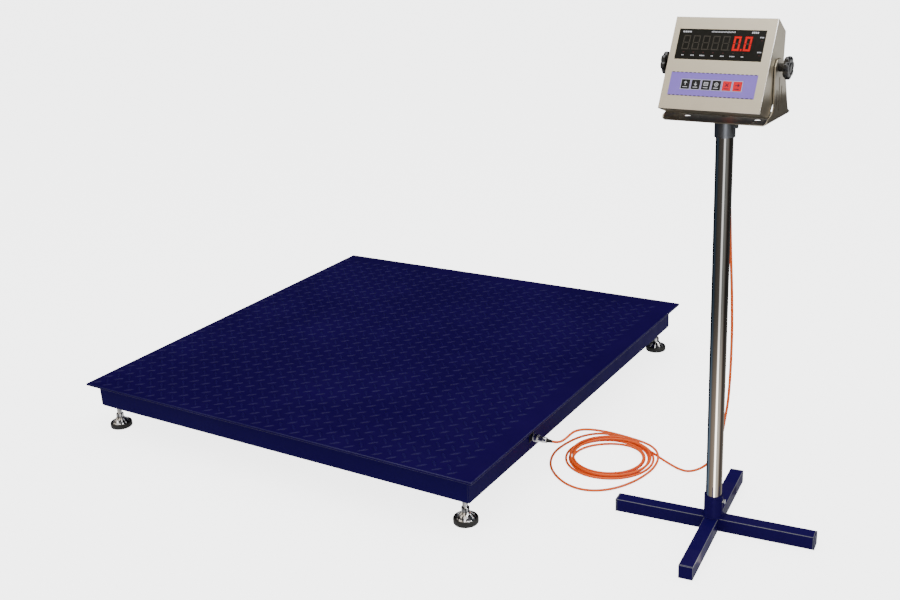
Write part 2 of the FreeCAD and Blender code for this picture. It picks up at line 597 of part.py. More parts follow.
def column():
    """Welded base socket, chromed column tube, top collar, and the screws that hold them."""
    low = "dims.tube_side"
    base_screw_z = "dims.tube_side + dims.socket_height - 14"
    collar_screw_z = "dims.bracket_z - 16"
    bore = "dims.column_dia + 0.2"
    head_frame = Placement(STAND, YAW)
    screw_bore = "dims.screw_dia + 0.2"

    wall = rod("socket_wall", "dims.socket_outer", "dims.socket_height", ("0", "0", low))
    weld = doc.addObject("Part::Cone", "socket_weld")
    bind(weld, Radius1="dims.socket_outer / 2 + 3", Radius2="dims.socket_outer / 2", Height="3",
         Placement__Base__z=low)
    socket = cut("socket_bored", joined("socket_blank", [wall, weld]), [
        rod("socket_bore", bore, "dims.socket_height", ("0", "0", low + " + dims.socket_web")),
        rod("socket_screw_bore", screw_bore, "dims.socket_outer", ("0", "0", base_screw_z), axis="x")])
    keep(socket, "base_socket", BASE)

    start = low + " + dims.socket_web"
    length = "dims.column_top - (%s)" % start
    tube_outer = rod("column_outer", "dims.column_dia", length, ("0", "0", start))
    tube_inner = rod("column_inner", "dims.column_dia - 2 * dims.column_wall", length + " + 2",
                     ("0", "0", start + " - 1"))
    keep(cut("column_tube", tube_outer, [tube_inner]), "column", BASE)

    collar = cut("collar_bored",
                 rod("collar_blank", "dims.socket_outer", "dims.bracket_z - dims.collar_bottom",
                     ("0", "0", "dims.collar_bottom")),
                 [rod("collar_bore", bore, "dims.bracket_z - dims.collar_web - dims.collar_bottom",
                      ("0", "0", "dims.collar_bottom")),
                  rod("collar_screw_bore", screw_bore, "dims.socket_outer",
                      ("0", "0", collar_screw_z), axis="x"),
                  rod("collar_bolt_bore", "dims.bracket_bolt + 0.2", "3 * dims.collar_web",
                      ("0", "0", "dims.bracket_z - 2 * dims.collar_web"))])
    keep(collar, "top_collar", head_frame)

    screws = []
    for name, frame, height in (("base_screw", BASE, base_screw_z),
                                ("top_screw", head_frame, collar_screw_z)):
        shank = rod(name + "_shank", "dims.screw_dia", "(dims.socket_outer - dims.column_dia) / 2",
                    ("dims.column_dia / 2", "0", height), axis="x")
        head = rod(name + "_head", "dims.screw_head", "5", ("dims.socket_outer / 2", "0", height), axis="x")
        screws.append(placed(joined(name, [shank, head]), frame))
    shank = rod("bolt_shank", "dims.bracket_bolt", "dims.collar_web + dims.bracket_wall",
                ("0", "0", "dims.bracket_z - dims.collar_web"))
    head = rod("bolt_head", "dims.bracket_bolt_head", "4", ("0", "0", "dims.bracket_z + dims.bracket_wall"))
    screws.append(placed(joined("bolt", [shank, head]), head_frame))
    keep(group("screws", screws), "column_screws")


def placed(item, frame):
    item.Placement = frame
    return item


# Holes in the bracket's plate, on both sides: distance from the middle, from the front edge, diameter.
PLATE_HOLES = {"cable_hole": (69, 47, 15), "wall_screw_hole": (71, 17, 7), "pilot_hole": (38, 34, 4)}
# Slots through the bracket's arms: distance from the front edge, bottom, top.
ARM_SLOTS = {"slot_front": (48, 28, 58), "slot_middle": (60, 17, 80), "slot_back": (73, 30, 62)}


def bracket():
    """One bent sheet: a plate on the collar and two arms that hold the indicator's pivots."""
    half = "dims.bracket_width / 2"
    wall = "dims.bracket_wall"
    body = padded("bracket_body", "XZ_Plane", [
        ("-" + half, "0"), (half, "0"), (half, "dims.arm_top"), (half + " - " + wall, "dims.arm_top"),
        (half + " - " + wall, wall), ("-%s + %s" % (half, wall), wall),
        ("-%s + %s" % (half, wall), "dims.arm_top"), ("-" + half, "dims.arm_top")],
        "dims.bracket_depth", midplane=True)
    side = dim.bracket_width / 2

    def corner(height, reach):
        return lambda edge: (abs(edge.BoundBox.YLength - dim.bracket_depth) < 0.01
                             and abs(edge.BoundBox.ZMin - height) < 0.01
                             and abs(abs(edge.BoundBox.XMin) - reach) < 0.01)

    rounded(body, "bend_outside", "dims.bracket_bend", corner(0, side))
    rounded(body, "bend_inside", "dims.bracket_bend - dims.bracket_wall",
            corner(dim.bracket_wall, side - dim.bracket_wall))
    front = "-dims.bracket_depth / 2"
    rear = "dims.bracket_depth / 2"
    pocketed(body, "arm_front", "YZ_Plane", [
        (front + " - 5", "4"), (front, "4"), (front + " + 4", "9"), (front + " + 16", "13"),
        (front + " + 31", "20"), (front + " + 36", "30"), (front + " + 37", "dims.arm_top - 11"),
        (front + " + 49", "dims.arm_top + 1"), (front + " - 5", "dims.arm_top + 1")], "300")
    pocketed(body, "arm_rear", "YZ_Plane", [
        (rear + " + 5", "6"), (rear, "6"), (rear + " - 10", "11"), (rear + " - 14", "18"),
        (rear + " - 38", "dims.pivot_z - 6"), (rear + " - 50", "dims.arm_top - 3"),
        (rear + " - 56", "dims.arm_top + 1"), (rear + " + 5", "dims.arm_top + 1")], "300")
    drills = [rod("pivot_hole", "dims.pivot_bore", "dims.bracket_width + 20",
                  ("-dims.bracket_width / 2 - 10", "dims.pivot_y", "dims.pivot_z"), axis="x"),
              rod("collar_bolt_hole", "dims.bracket_bolt + 0.4", "5 * dims.bracket_wall",
                  ("0", "0", "-2 * dims.bracket_wall"))]
    for name, (across_x, back, diameter) in PLATE_HOLES.items():
        for side_name, sign in (("left", -1), ("right", 1)):
            drills.append(rod("%s_%s" % (name, side_name), "%d" % diameter, "5 * dims.bracket_wall",
                              ("%d" % (sign * across_x), "%s + %d" % (front, back),
                               "-2 * dims.bracket_wall")))
    for name, (back, bottom, top) in ARM_SLOTS.items():
        drills.append(block(name, ("dims.bracket_width + 20", "dims.slot_width", "%d" % (top - bottom)),
                            ("-dims.bracket_width / 2 - 10", "%s + %d" % (front, back), "%d" % bottom)))
    keep(cut("bracket_drilled", body, drills), "bracket", BRACKET)


# ---------------------------------------------------------------- indicator

def back_strip(near, far):
    """Closed outline, in the YZ plane, of the two back facets between two depths below the surface."""
    top = Vector(0, dim.top_back_y, dim.top_back_z)
    ridge = Vector(0, dim.ridge_y, dim.ridge_z)
    heel = Vector(0, dim.heel_y, dim.heel_z)
    upper = (ridge - top).normalize()
    lower = (heel - ridge).normalize()
    upper_in = Vector(0, upper.z, -upper.y)
    lower_in = Vector(0, lower.z, -lower.y)
    bisector = (upper_in + lower_in).normalize()
    mitre = 1 / bisector.dot(upper_in)

    def line(depth):
        return [top + upper_in * depth, ridge + bisector * depth * mitre, heel + lower_in * depth]

    points = line(near) + line(far)[::-1]
    return Part.Face(Part.makePolygon(points + points[:1]))


def back_frame(x, along):
    """A frame on the back cover, Z outward: along is 0 to 1 down the upper facet, 1 to 2 down the lower."""
    top = Vector(0, dim.top_back_y, dim.top_back_z)
    ridge = Vector(0, dim.ridge_y, dim.ridge_z)
    heel = Vector(0, dim.heel_y, dim.heel_z)
    start, end = (top, ridge) if along <= 1 else (ridge, heel)
    spot = start + (end - start) * (along if along <= 1 else along - 1)
    run = (end - start).normalize()
    outward = Vector(0, -run.z, run.y)
    return Placement(spot + Vector(x, 0, 0), Rotation(Vector(0, 0, 1), outward))


def across(name, face, width):
    """A flat shape in the YZ plane drawn out along X, centred, as a plain shape."""
    item = doc.addObject("Part::Feature", name)
    item.Shape = face.extrude(Vector(width, 0, 0))
    item.Placement = Placement(Vector(-width / 2, 0, 0), Rotation())
    return item


CASE_CORNERS = [("face_y", "face_bottom"), ("face_y", "face_top"), ("top_back_y", "top_back_z"),
                ("ridge_y", "ridge_z"), ("heel_y", "heel_z")]
COVER_SCREWS = [(x, along) for along in (0.12, 0.85, 1.5, 1.9) for x in (-91, 91)]
CABLE_GLAND = (-25, 0.75)
POWER_GLAND = (45, 1.42)
GLAND_LENGTH = 20
GLAND_AXIS = HEAD.Rotation.multVec(back_frame(*CABLE_GLAND).Rotation.multVec(Vector(0, 0, 1)))
GLAND_EXIT = HEAD.multVec(back_frame(*CABLE_GLAND).multVec(Vector(0, 0, GLAND_LENGTH)))


def back_hole(name, diameter, x, along):
    """A drill through the back cover and the flange behind it, square to the facet it is on."""
    hole = doc.addObject("Part::Cylinder", name)
    bind(hole, Radius="(%s) / 2" % diameter, Height="10")
    return placed(hole, back_frame(x, along) * Placement(Vector(0, 0, -5), Rotation()))


def screw_holes(prefix):
    return [back_hole("%s_%d" % (prefix, number), "dims.cover_screw_dia + 0.2", x, along)
            for number, (x, along) in enumerate(COVER_SCREWS)]


def housing_shell():
    """Folded sheet with a sloping face, open at the back, with the pivot nuts welded in its sides."""
    body = padded("case", "YZ_Plane", [("dims." + y, "dims." + z) for y, z in CASE_CORNERS],
                  "dims.case_width", midplane=True)
    rounded(body, "case_rounding", "0.8", lambda edge: edge.BoundBox.YMax < dim.face_y + 0.01)
    wire = Part.makePolygon([Vector(0, getattr(dim, y), getattr(dim, z))
                             for y, z in CASE_CORNERS + CASE_CORNERS[:1]])
    wall = dim.case_wall
    inner_width = dim.case_width - 2 * wall
    cavity = across("case_cavity", Part.Face(wire.makeOffset2D(-wall, 2)), inner_width)
    opening = across("case_back", back_strip(0, wall), dim.case_width + 2)
    hollow = cut("case_hollow", body, [cavity, opening])
    pieces = [hollow]
    side_face = "(dims.case_width / 2 - dims.case_wall)"
    nut_starts = {"left": "-" + side_face, "right": side_face + " - dims.weld_nut_depth"}
    for name, sign in (("left", -1), ("right", 1)):
        flange = across("flange_" + name, back_strip(wall, 2 * wall), dim.flange_width)
        flange.Placement.Base.x += sign * (inner_width - dim.flange_width) / 2
        pieces.append(flange)
        pieces.append(hexagon("weld_nut_" + name, "dims.weld_nut_flats", "dims.weld_nut_depth",
                              (nut_starts[name], "0", "0"), axis="x"))
    openings = [block("window_opening", ("dims.window_width", "10", "dims.window_height"),
                      ("dims.window_x - dims.window_width / 2", "dims.face_y - 5",
                       "dims.window_top - dims.window_height"))]
    for number in range(6):
        openings.append(key_opening("case_key_%d" % number, number))
    openings.append(rod("case_pivot_hole", "dims.knob_stud + 0.1", "dims.case_width + 10",
                        ("-dims.case_width / 2 - 5", "0", "0"), axis="x"))
    openings += screw_holes("flange_hole")
    keep(cut("case_finished", joined("case_blank", pieces), openings), "housing_shell", HEAD)


def key_opening(name, number):
    """The clear window round one key, through the face and the keypad sheet."""
    return block(name, ("dims.key_width + 2 * dims.key_gap", "10", "dims.key_height + 2 * dims.key_gap"),
                 ("dims.key_first + %d * dims.key_pitch - dims.key_width / 2 - dims.key_gap" % number,
                  "dims.face_y - 5", "dims.key_z - dims.key_height / 2 - dims.key_gap"))


def back_cover():
    """Bent sheet that closes the back, its screws, and the two glands that pass through it."""
    holes = screw_holes("cover_hole")
    for name, (x, along) in (("cable", CABLE_GLAND), ("power", POWER_GLAND)):
        holes.append(back_hole(name + "_gland_bore", "dims.gland_thread + 0.2", x, along))
    cover = across("cover_sheet", back_strip(0, dim.case_wall), dim.case_width)
    keep(cut("cover", cover, holes), "back_cover", HEAD)
    screws = []
    for number, (x, along) in enumerate(COVER_SCREWS):
        shank = "dims.cover_screw_dia / 2"
        screw = turned("cover_screw_%d" % number, [
            ("0", "-4"), (shank, "-4"), (shank, "0"), ("2.9", "0"), ("2.9", "0.9"), ("2.1", "1.7"),
            ("0", "1.7")])
        screws.append(placed(screw, back_frame(x, along)))
    keep(group("cover_screw_group", screws), "cover_screws", HEAD)
    thread = "dims.gland_thread / 2"
    length = "%d" % GLAND_LENGTH
    for name, (x, along) in (("cable_gland", CABLE_GLAND), ("power_gland", POWER_GLAND)):
        body = turned(name + "_body", [
            ("0", "-9"), (thread, "-9"), (thread, "0"), ("9", "0"), ("9", "5"), ("8", "6"), ("8", "12"),
            ("7.2", "15.5"), ("dims.cable_dia / 2 + 1", length), ("0", length)])
        keep(body, name, HEAD * back_frame(x, along))


def display():
    """Dark window flush with the face, seven digit modules behind it, and the circuit boards."""
    window = block("window", ("dims.window_width - 0.4", "2", "dims.window_height - 0.4"),
                   ("dims.window_x - dims.window_width / 2 + 0.2", "dims.face_y",
                    "dims.window_top - dims.window_height + 0.2"))
    keep(window_group(window), "display_window", HEAD)
    digits = [block("digit_%d" % number, ("dims.digit_width", "10", "dims.digit_height"),
                    ("dims.digit_first + %d * dims.digit_pitch - dims.digit_width / 2" % number,
                     "dims.face_y + 2.4", "dims.digit_z - dims.digit_height / 2"))
              for number in range(7)]
    keep(group("digits", digits), "digit_modules", HEAD)
    main_board = block("main_board", ("dims.board_width", "dims.board_thick", "dims.board_height"),
                       (centred("dims.board_width"), "dims.face_y + dims.board_back", "dims.board_bottom"))
    key_board = block("key_board", ("dims.key_board_width", "dims.board_thick", "dims.key_board_height"),
                      (centred("dims.key_board_width"), "dims.face_y + dims.key_board_back",
                       "dims.key_z - dims.key_board_height / 2"))
    keep(group("boards", [main_board, key_board]), "circuit_boards", HEAD)


def window_group(window):
    """The window with its front edge eased."""
    eased = doc.addObject("Part::Chamfer", "window_eased")
    eased.Base = window
    doc.recompute()
    eased.Edges = [(index + 1, 0.3, 0.3) for index, edge in enumerate(window.Shape.Edges)
                   if edge.BoundBox.YMax < dim.face_y + 0.01]
    return eased


def keypad():
    sheet_block = block("keypad_sheet", ("dims.keypad_width", "dims.keypad_thick", "dims.keypad_height"),
                        ("dims.keypad_x - dims.keypad_width / 2", "dims.face_y - dims.keypad_thick",
                         "dims.keypad_top - dims.keypad_height"))
    openings = [key_opening("keypad_opening_%d" % number, number) for number in range(6)]
    keep(cut("keypad", sheet_block, openings), "keypad_overlay", HEAD)
    for number in range(6):
        middle = "dims.key_first + %d * dims.key_pitch" % number
        body = padded("key_body_%d" % (number + 1), "XZ_Plane",
                      rectangle(middle + " - dims.key_width / 2", middle + " + dims.key_width / 2",
                                "dims.key_z - dims.key_height / 2", "dims.key_z + dims.key_height / 2"),
                      "dims.key_depth", offset="-dims.face_y + dims.key_proud - dims.key_depth")
        front = dim.face_y - dim.key_proud
        rounded(body, "key_rounding_%d" % (number + 1), "0.5",
                lambda edge: edge.BoundBox.YMax < front + 0.01)
        keep(body, "key_%d" % (number + 1), HEAD)


def power_parts():
    """Sealed battery with its two terminals, and the mains transformer."""
    battery = block("battery_block", ("dims.battery_width", "dims.battery_depth", "dims.battery_height"),
                    ("dims.battery_left", "dims.battery_front", "dims.battery_bottom"))
    posts = [block("battery_terminal_" + name, ("6", "3", "4"),
                   ("dims.battery_left + " + along, "dims.battery_front + dims.battery_depth / 2",
                    "dims.battery_bottom + dims.battery_height"))
             for name, along in (("left", "8"), ("right", "dims.battery_width - 14"))]
    keep(joined("battery_case", [battery] + posts), "battery", HEAD)
    core = block("transformer_core", ("dims.core_width", "dims.core_depth", "dims.core_height"),
                 ("dims.core_left", "dims.core_front", "dims.core_bottom"))
    winding = block("transformer_winding",
                    ("dims.winding_width", "dims.winding_depth", "dims.winding_height"),
                    ("dims.core_left + (dims.core_width - dims.winding_width) / 2",
                     "dims.core_front + (dims.core_depth - dims.winding_depth) / 2",
                     "dims.core_bottom + (dims.core_height - dims.winding_height) / 2"))
    keep(joined("transformer_body", [core, winding]), "transformer", HEAD)


KNOB_LOBES = 7


def knob(side, sign):
    """Lobed clamping knob with its stud, and the rubber washer between the arm and the housing."""
    face = "dims.bracket_width / 2 + dims.knob_gap"

    def along(name, diameter, near, far):
        start = near if sign > 0 else "-(%s)" % far
        return rod(name + "_" + side, diameter, "(%s) - (%s)" % (far, near), (start, "0", "0"), axis="x")

    disc_near = face + " + dims.hub_length"
    disc_far = disc_near + " + dims.knob_thick"
    disc = along("knob_disc", "dims.knob_dia", disc_near, disc_far)
    scallop_start = disc_near + " - 1" if sign > 0 else "-(%s) - 1" % disc_far
    scallop_reach = "(dims.knob_dia / 2 + dims.scallop_out)"
    scallops = [rod("scallop_%s_%d" % (side, number), "dims.scallop_dia", "dims.knob_thick + 2",
                    (scallop_start,
                     "%s * cos(%d * 360deg / %d)" % (scallop_reach, number, KNOB_LOBES),
                     "%s * sin(%d * 360deg / %d)" % (scallop_reach, number, KNOB_LOBES)), axis="x")
                for number in range(KNOB_LOBES)]
    lobed = cut("knob_lobes_" + side, disc, scallops)
    hub = along("knob_hub", "dims.hub_dia", face, disc_near)
    stud = along("knob_stud", "dims.knob_stud", "dims.case_width / 2 - dims.case_wall - 6", face)
    keep(joined("knob_" + side + "_whole", [lobed, hub, stud]), "knob_" + side, HEAD)
    near = "dims.case_width / 2"
    washer = along("washer", "dims.washer_dia", near, near + " + dims.washer_thick")
    bore = along("washer_bore", "dims.pivot_bore", near + " - 1", near + " + 5")
    return cut("washer_ring_" + side, washer, [bore])


def write_parts():
    """Stops at any failed object, then writes every sub-part to its own file."""
    doc.recompute()
    for item in doc.Objects:
        faults = [state for state in item.State if state in ("Invalid", "Error")]
        assert not faults, "%s: %s" % (item.Name, faults)
    for item in finished:
        assert not item.Shape.isNull() and item.Shape.isValid(), item.Label
    os.makedirs("parts", exist_ok=True)
    for item in finished:
        item.Shape.exportStep("parts/%s.step" % item.Label)
    print(len(finished), "sub-parts written")


deck_plate()
for rail_name, rail_turn in (("rail_right", 0), ("rail_rear", 90), ("rail_left", 180), ("rail_front", 270)):
    edge_rail(rail_name, rail_turn)
deck_ribs()
load_cells()
for foot_place, (foot_x, foot_y) in CORNERS.items():
    foot(foot_place, foot_x, foot_y)
junction_box()
sensor_leads()
cable_fittings()
cable()
base()
column()
bracket()
housing_shell()
back_cover()
display()
keypad()
power_parts()
keep(group("washers", [knob("left", -1), knob("right", 1)]), "friction_washers", HEAD)
write_parts()
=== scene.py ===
import json
import math

import bmesh
import bpy
from mathutils import Matrix, Vector

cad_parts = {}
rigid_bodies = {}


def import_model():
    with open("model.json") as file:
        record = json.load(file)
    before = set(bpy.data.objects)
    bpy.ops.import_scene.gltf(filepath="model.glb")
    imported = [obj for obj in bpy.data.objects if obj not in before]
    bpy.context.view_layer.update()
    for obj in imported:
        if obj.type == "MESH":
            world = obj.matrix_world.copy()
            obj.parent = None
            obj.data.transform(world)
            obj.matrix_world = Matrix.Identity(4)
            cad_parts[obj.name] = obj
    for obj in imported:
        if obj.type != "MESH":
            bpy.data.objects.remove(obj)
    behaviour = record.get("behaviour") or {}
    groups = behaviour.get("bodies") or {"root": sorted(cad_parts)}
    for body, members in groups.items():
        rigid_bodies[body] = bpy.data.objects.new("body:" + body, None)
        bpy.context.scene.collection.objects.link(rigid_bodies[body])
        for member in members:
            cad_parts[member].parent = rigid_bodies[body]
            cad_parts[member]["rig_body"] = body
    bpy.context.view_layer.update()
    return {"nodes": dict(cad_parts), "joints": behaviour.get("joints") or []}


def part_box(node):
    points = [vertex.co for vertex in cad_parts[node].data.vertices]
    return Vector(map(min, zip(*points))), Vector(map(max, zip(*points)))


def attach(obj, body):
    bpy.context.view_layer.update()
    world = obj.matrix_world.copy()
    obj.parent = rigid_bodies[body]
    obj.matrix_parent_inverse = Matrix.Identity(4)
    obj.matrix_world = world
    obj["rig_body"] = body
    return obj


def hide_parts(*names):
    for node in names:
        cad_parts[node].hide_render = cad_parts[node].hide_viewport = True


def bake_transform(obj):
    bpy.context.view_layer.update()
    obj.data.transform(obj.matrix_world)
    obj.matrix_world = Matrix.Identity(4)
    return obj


# Platform shipping scale with a column indicator.  Sizes are in millimetres and become metres through MM.
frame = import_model()
MM = 0.001


# ---- camera

CAMERA_PLACE = Vector((1.4229, -2.4123, 1.3372))
CAMERA_AZIMUTH = math.radians(-33.003)
CAMERA_DROP = math.radians(20.037)
CAMERA_ROLL = math.radians(-3.178)
CAMERA_LENS = 45.572
SENSOR_WIDTH = 36
CAMERA_REACH = 200


def make_camera():
    """Azimuth is counted from +Y towards +X, drop below the horizon, and roll about the line of sight."""
    data = bpy.data.cameras.new("camera")
    data.lens = CAMERA_LENS
    data.sensor_width = SENSOR_WIDTH
    data.clip_end = CAMERA_REACH
    camera = bpy.data.objects.new("camera", data)
    turn = (Matrix.Rotation(-CAMERA_AZIMUTH, 4, "Z") @ Matrix.Rotation(math.pi / 2 - CAMERA_DROP, 4, "X")
            @ Matrix.Rotation(CAMERA_ROLL, 4, "Z"))
    camera.matrix_world = Matrix.Translation(CAMERA_PLACE) @ turn
    bpy.context.scene.collection.objects.link(camera)
    bpy.context.scene.camera = camera


make_camera()


# ---- frames of the groups

def joint(name):
    return next(entry for entry in frame["joints"] if entry["name"] == name)


def middle(node):
    low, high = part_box(node)
    return (low + high) / 2


FACE_LEAN = math.radians(28)
BASE_TURN = math.radians(5.2)
PLACES = ("front_left", "front_right", "rear_left", "rear_right")

pivot = Vector(joint("indicator_tilt")["pos_m"])
sideways = Vector(joint("indicator_tilt")["axis"]).normalized()
backwards = Vector((-sideways.y, sideways.x, 0))
face_back = backwards * math.cos(FACE_LEAN) - Vector((0, 0, 1)) * math.sin(FACE_LEAN)
face_up = backwards * math.sin(FACE_LEAN) + Vector((0, 0, 1)) * math.cos(FACE_LEAN)
# the indicator's own frame: X to the right, Y into the housing, Z up its face, origin at the pivots
HEAD = Matrix.Translation(pivot) @ Matrix((sideways, face_back, face_up)).transposed().to_4x4()
YAW = Matrix((sideways, backwards, (0, 0, 1))).transposed().to_4x4()
STAND = Matrix.Translation((middle("column").x, middle("column").y, 0))
PLATFORM = Matrix.Translation((middle("deck_plate").x, middle("deck_plate").y, 0))
ALONG_X = Matrix.Rotation(math.radians(90), 4, "Y")


# ---- pieces from mesh code

def new_piece(name, mesh, material, body, replaces=(), angle=35):
    """Links a mesh as a piece of the object, smooth but for its sharp edges."""
    piece = bpy.data.objects.new(name, mesh)
    bpy.context.scene.collection.objects.link(piece)
    mesh.materials.append(material)
    mesh.shade_smooth()
    mesh.set_sharp_from_angle(angle=math.radians(angle))
    if body:
        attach(piece, body)
    if replaces:
        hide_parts(*replaces)
    return piece


def mesh_from(name, points, faces):
    """A mesh from points in metres, its doubled points merged and its faces turned outwards."""
    mesh = bpy.data.meshes.new(name)
    mesh.from_pydata([tuple(point) for point in points], [], faces)
    work = bmesh.new()
    work.from_mesh(mesh)
    bmesh.ops.remove_doubles(work, verts=work.verts, dist=1e-7)
    bmesh.ops.dissolve_degenerate(work, edges=work.edges, dist=1e-8)
    bmesh.ops.recalc_face_normals(work, faces=work.faces)
    work.to_mesh(mesh)
    work.free()
    return mesh


def rings_mesh(name, rings):
    """A skin over rings of points, each ring closed on itself, with a face over each end."""
    count = len(rings[0])
    points = [point for ring in rings for point in ring]
    faces = []
    for row in range(len(rings) - 1):
        for index in range(count):
            after = (index + 1) % count
            faces.append((row * count + index, row * count + after,
                          (row + 1) * count + after, (row + 1) * count + index))
    faces.append(tuple(range(count))[::-1])
    faces.append(tuple(range((len(rings) - 1) * count, len(rings) * count)))
    return mesh_from(name, points, faces)


def lathe(name, profile, place, segments=64, shape=None):
    """Turns (radius, height) corners about Z; shape(angle, radius, height) may vary the radius."""
    rings = []
    for radius, height in profile:
        ring = []
        for index in range(segments):
            angle = 2 * math.pi * index / segments
            reach = shape(angle, radius, height) if shape else radius
            ring.append(place @ (Vector((reach * math.cos(angle), reach * math.sin(angle), height)) * MM))
        rings.append(ring)
    return rings_mesh(name, rings)


def tube(name, line, radius, sides=14):
    """A tube about a line of points in metres; radius may be a function of the distance along it."""
    rings = []
    normal = None
    walked = 0.0
    for index, point in enumerate(line):
        before = line[max(index - 1, 0)]
        after = line[min(index + 1, len(line) - 1)]
        forward = (after - before).normalized()
        if normal is None:
            normal = forward.orthogonal().normalized()
        normal = (normal - forward * normal.dot(forward)).normalized()
        other = forward.cross(normal)
        walked += (point - before).length
        reach = radius(walked) if callable(radius) else radius
        rings.append([point + (normal * math.cos(turn) + other * math.sin(turn)) * reach
                      for turn in (2 * math.pi * side / sides for side in range(sides))])
    return rings_mesh(name, rings)


def slabs(name, outlines, near, far, place):
    """Flat shapes drawn as (x, z) outlines, each filled from depth near to depth far along Y."""
    points = []
    faces = []
    for outline in outlines:
        start = len(points)
        count = len(outline)
        points += [place @ (Vector((x, near, z)) * MM) for x, z in outline]
        points += [place @ (Vector((x, far, z)) * MM) for x, z in outline]
        faces.append(tuple(range(start, start + count)))
        faces.append(tuple(range(start + count, start + 2 * count))[::-1])
        for index in range(count):
            after = (index + 1) % count
            faces.append((start + index, start + after, start + count + after, start + count + index))
    return mesh_from(name, points, faces)


def bar(x, z, width, height):
    """The outline of a rectangle about its centre."""
    return [(x - width / 2, z - height / 2), (x + width / 2, z - height / 2),
            (x + width / 2, z + height / 2), (x - width / 2, z + height / 2)]


def stroke(start, end, width):
    """The outline of a straight stroke between two points."""
    run = (Vector(end) - Vector(start)).normalized()
    side = Vector((-run.y, run.x)) * width / 2
    return [tuple(Vector(point) + side * sign) for point, sign in
            ((start, -1), (end, -1), (end, 1), (start, 1))]


def circle(radius, count, x=0.0, y=0.0):
    """Points evenly round a circle about (x, y)."""
    angles = (2 * math.pi * index / count for index in range(count))
    return [(x + radius * math.cos(angle), y + radius * math.sin(angle)) for angle in angles]


def ring_strokes(x, z, radius, width, sides=16):
    """A circle drawn as a closed run of short strokes."""
    corners = circle(radius, sides, x, z)
    return [stroke(corners[side], corners[(side + 1) % sides], width) for side in range(sides)]


def frame_strokes(x, z, width, height, line):
    """A rectangle drawn as four strokes."""
    return [bar(x, z + height / 2, width + line, line), bar(x, z - height / 2, width + line, line),
            bar(x - width / 2, z, line, height - line), bar(x + width / 2, z, line, height - line)]


MERGE_DISTANCE = 2e-6
FLAT_ANGLE = math.radians(0.4)
SMOOTH_ANGLE = math.radians(35)
SHARP = math.radians(40)
SHORTEST_EASED = 3.0
THIN_EASING = 0.35
# a bend strip, which takes the painted bend highlight, is at most BEND_STRIP wide and over BEND_LENGTH long,
# in millimetres
BEND_STRIP = 0.6
BEND_LENGTH = 50


def longest_side(face):
    return max(side.calc_length() for side in face.edges)


def slimness(face):
    """A face's area over its longest side, which is the width of a strip."""
    return face.calc_area() / longest_side(face)


def mark_corners(work, thinnest):
    """Weights the outward corners that are to be eased; the edges of a thin sheet are eased less."""
    weight = work.edges.layers.float.new("bevel_weight_edge")
    for edge in work.edges:
        if len(edge.link_faces) != 2 or edge.calc_length() < SHORTEST_EASED * MM:
            continue
        if not edge.is_convex or edge.calc_face_angle() < SHARP:
            continue
        thin = min(slimness(face) for face in edge.link_faces) < thinnest * MM
        edge[weight] = THIN_EASING if thin else 1.0


def node_copy(node, *materials):
    """A copy of a CAD node's mesh, as a piece that stands for it, with its flat faces whole again."""
    source = frame["nodes"][node]
    mesh = source.data.copy()
    mesh.materials.clear()
    for material in materials:
        mesh.materials.append(material)
    for polygon in mesh.polygons:
        polygon.material_index = 0
    work = bmesh.new()
    work.from_mesh(mesh)
    bmesh.ops.remove_doubles(work, verts=work.verts, dist=MERGE_DISTANCE)
    bmesh.ops.dissolve_limit(work, angle_limit=FLAT_ANGLE, verts=work.verts, edges=work.edges)
    piece = bpy.data.objects.new(node + "_piece", mesh)
    bpy.context.scene.collection.objects.link(piece)
    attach(piece, source["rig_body"])
    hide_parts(node)
    return piece, work


def finish_copy(piece, work):
    work.to_mesh(piece.data)
    work.free()
    piece.data.shade_smooth()
    piece.data.set_sharp_from_angle(angle=SMOOTH_ANGLE)


def softened(node, width, material, edge_material=None, segments=2):
    """Stands a copy with eased edges in place of a CAD node; the easing may have its own material."""
    piece, work = node_copy(node, material, edge_material or material)
    mark_corners(work, 2 * width)
    finish_copy(piece, work)
    bevel = piece.modifiers.new("eased", "BEVEL")
    bevel.width = width * MM
    bevel.segments = segments
    bevel.limit_method = "WEIGHT"
    bevel.material = 1
    bevel.harden_normals = True


def bent_sheet(node, material, bend_highlight_material):
    """Stands a copy in place of a folded sheet; the strips that round its bends have their own paler
    material, a painted highlight along the bends.
    """
    piece, work = node_copy(node, material, bend_highlight_material)
    for face in work.faces:
        if longest_side(face) > BEND_LENGTH * MM and slimness(face) < BEND_STRIP * MM:
            face.material_index = 1
    finish_copy(piece, work)
    weighted = piece.modifiers.new("flat faces", "WEIGHTED_NORMAL")
    weighted.keep_sharp = True


def paint(node, material):
    """Gives a CAD node, kept as it is, its material."""
    mesh = frame["nodes"][node].data
    mesh.materials.clear()
    mesh.materials.append(material)


# ---- materials

class Shading:
    """A node material with textures in object space, and short ways to add and link its nodes."""

    def __init__(self, name):
        self.material = bpy.data.materials.new(name)
        self.material.use_nodes = True
        self.tree = self.material.node_tree

    def node(self, kind, **inputs):
        made = self.tree.nodes.new("ShaderNode" + kind)
        for socket, value in inputs.items():
            made.inputs[socket.replace("_", " ")].default_value = value
        return made

    def link(self, source, target):
        self.tree.links.new(source, target)

    def spread(self, source, low, high, to_low=0.0, to_high=1.0):
        """Maps low..high of a value onto to_low..to_high."""
        mapped = self.node("MapRange", From_Min=low, From_Max=high, To_Min=to_low, To_Max=to_high)
        self.link(source, mapped.inputs["Value"])
        return mapped.outputs["Result"]

    def mix(self, factor, first, second, way="MIX"):
        """Mixes two colours, each a value or another node's output."""
        mix = self.node("Mix")
        mix.data_type = "RGBA"
        mix.blend_type = way
        for socket, colour in ((6, first), (7, second)):
            if isinstance(colour, tuple):
                mix.inputs[socket].default_value = (*colour, 1)
            else:
                self.link(colour, mix.inputs[socket])
        if isinstance(factor, float):
            mix.inputs[0].default_value = factor
        else:
            self.link(factor, mix.inputs[0])
        return mix.outputs[2]


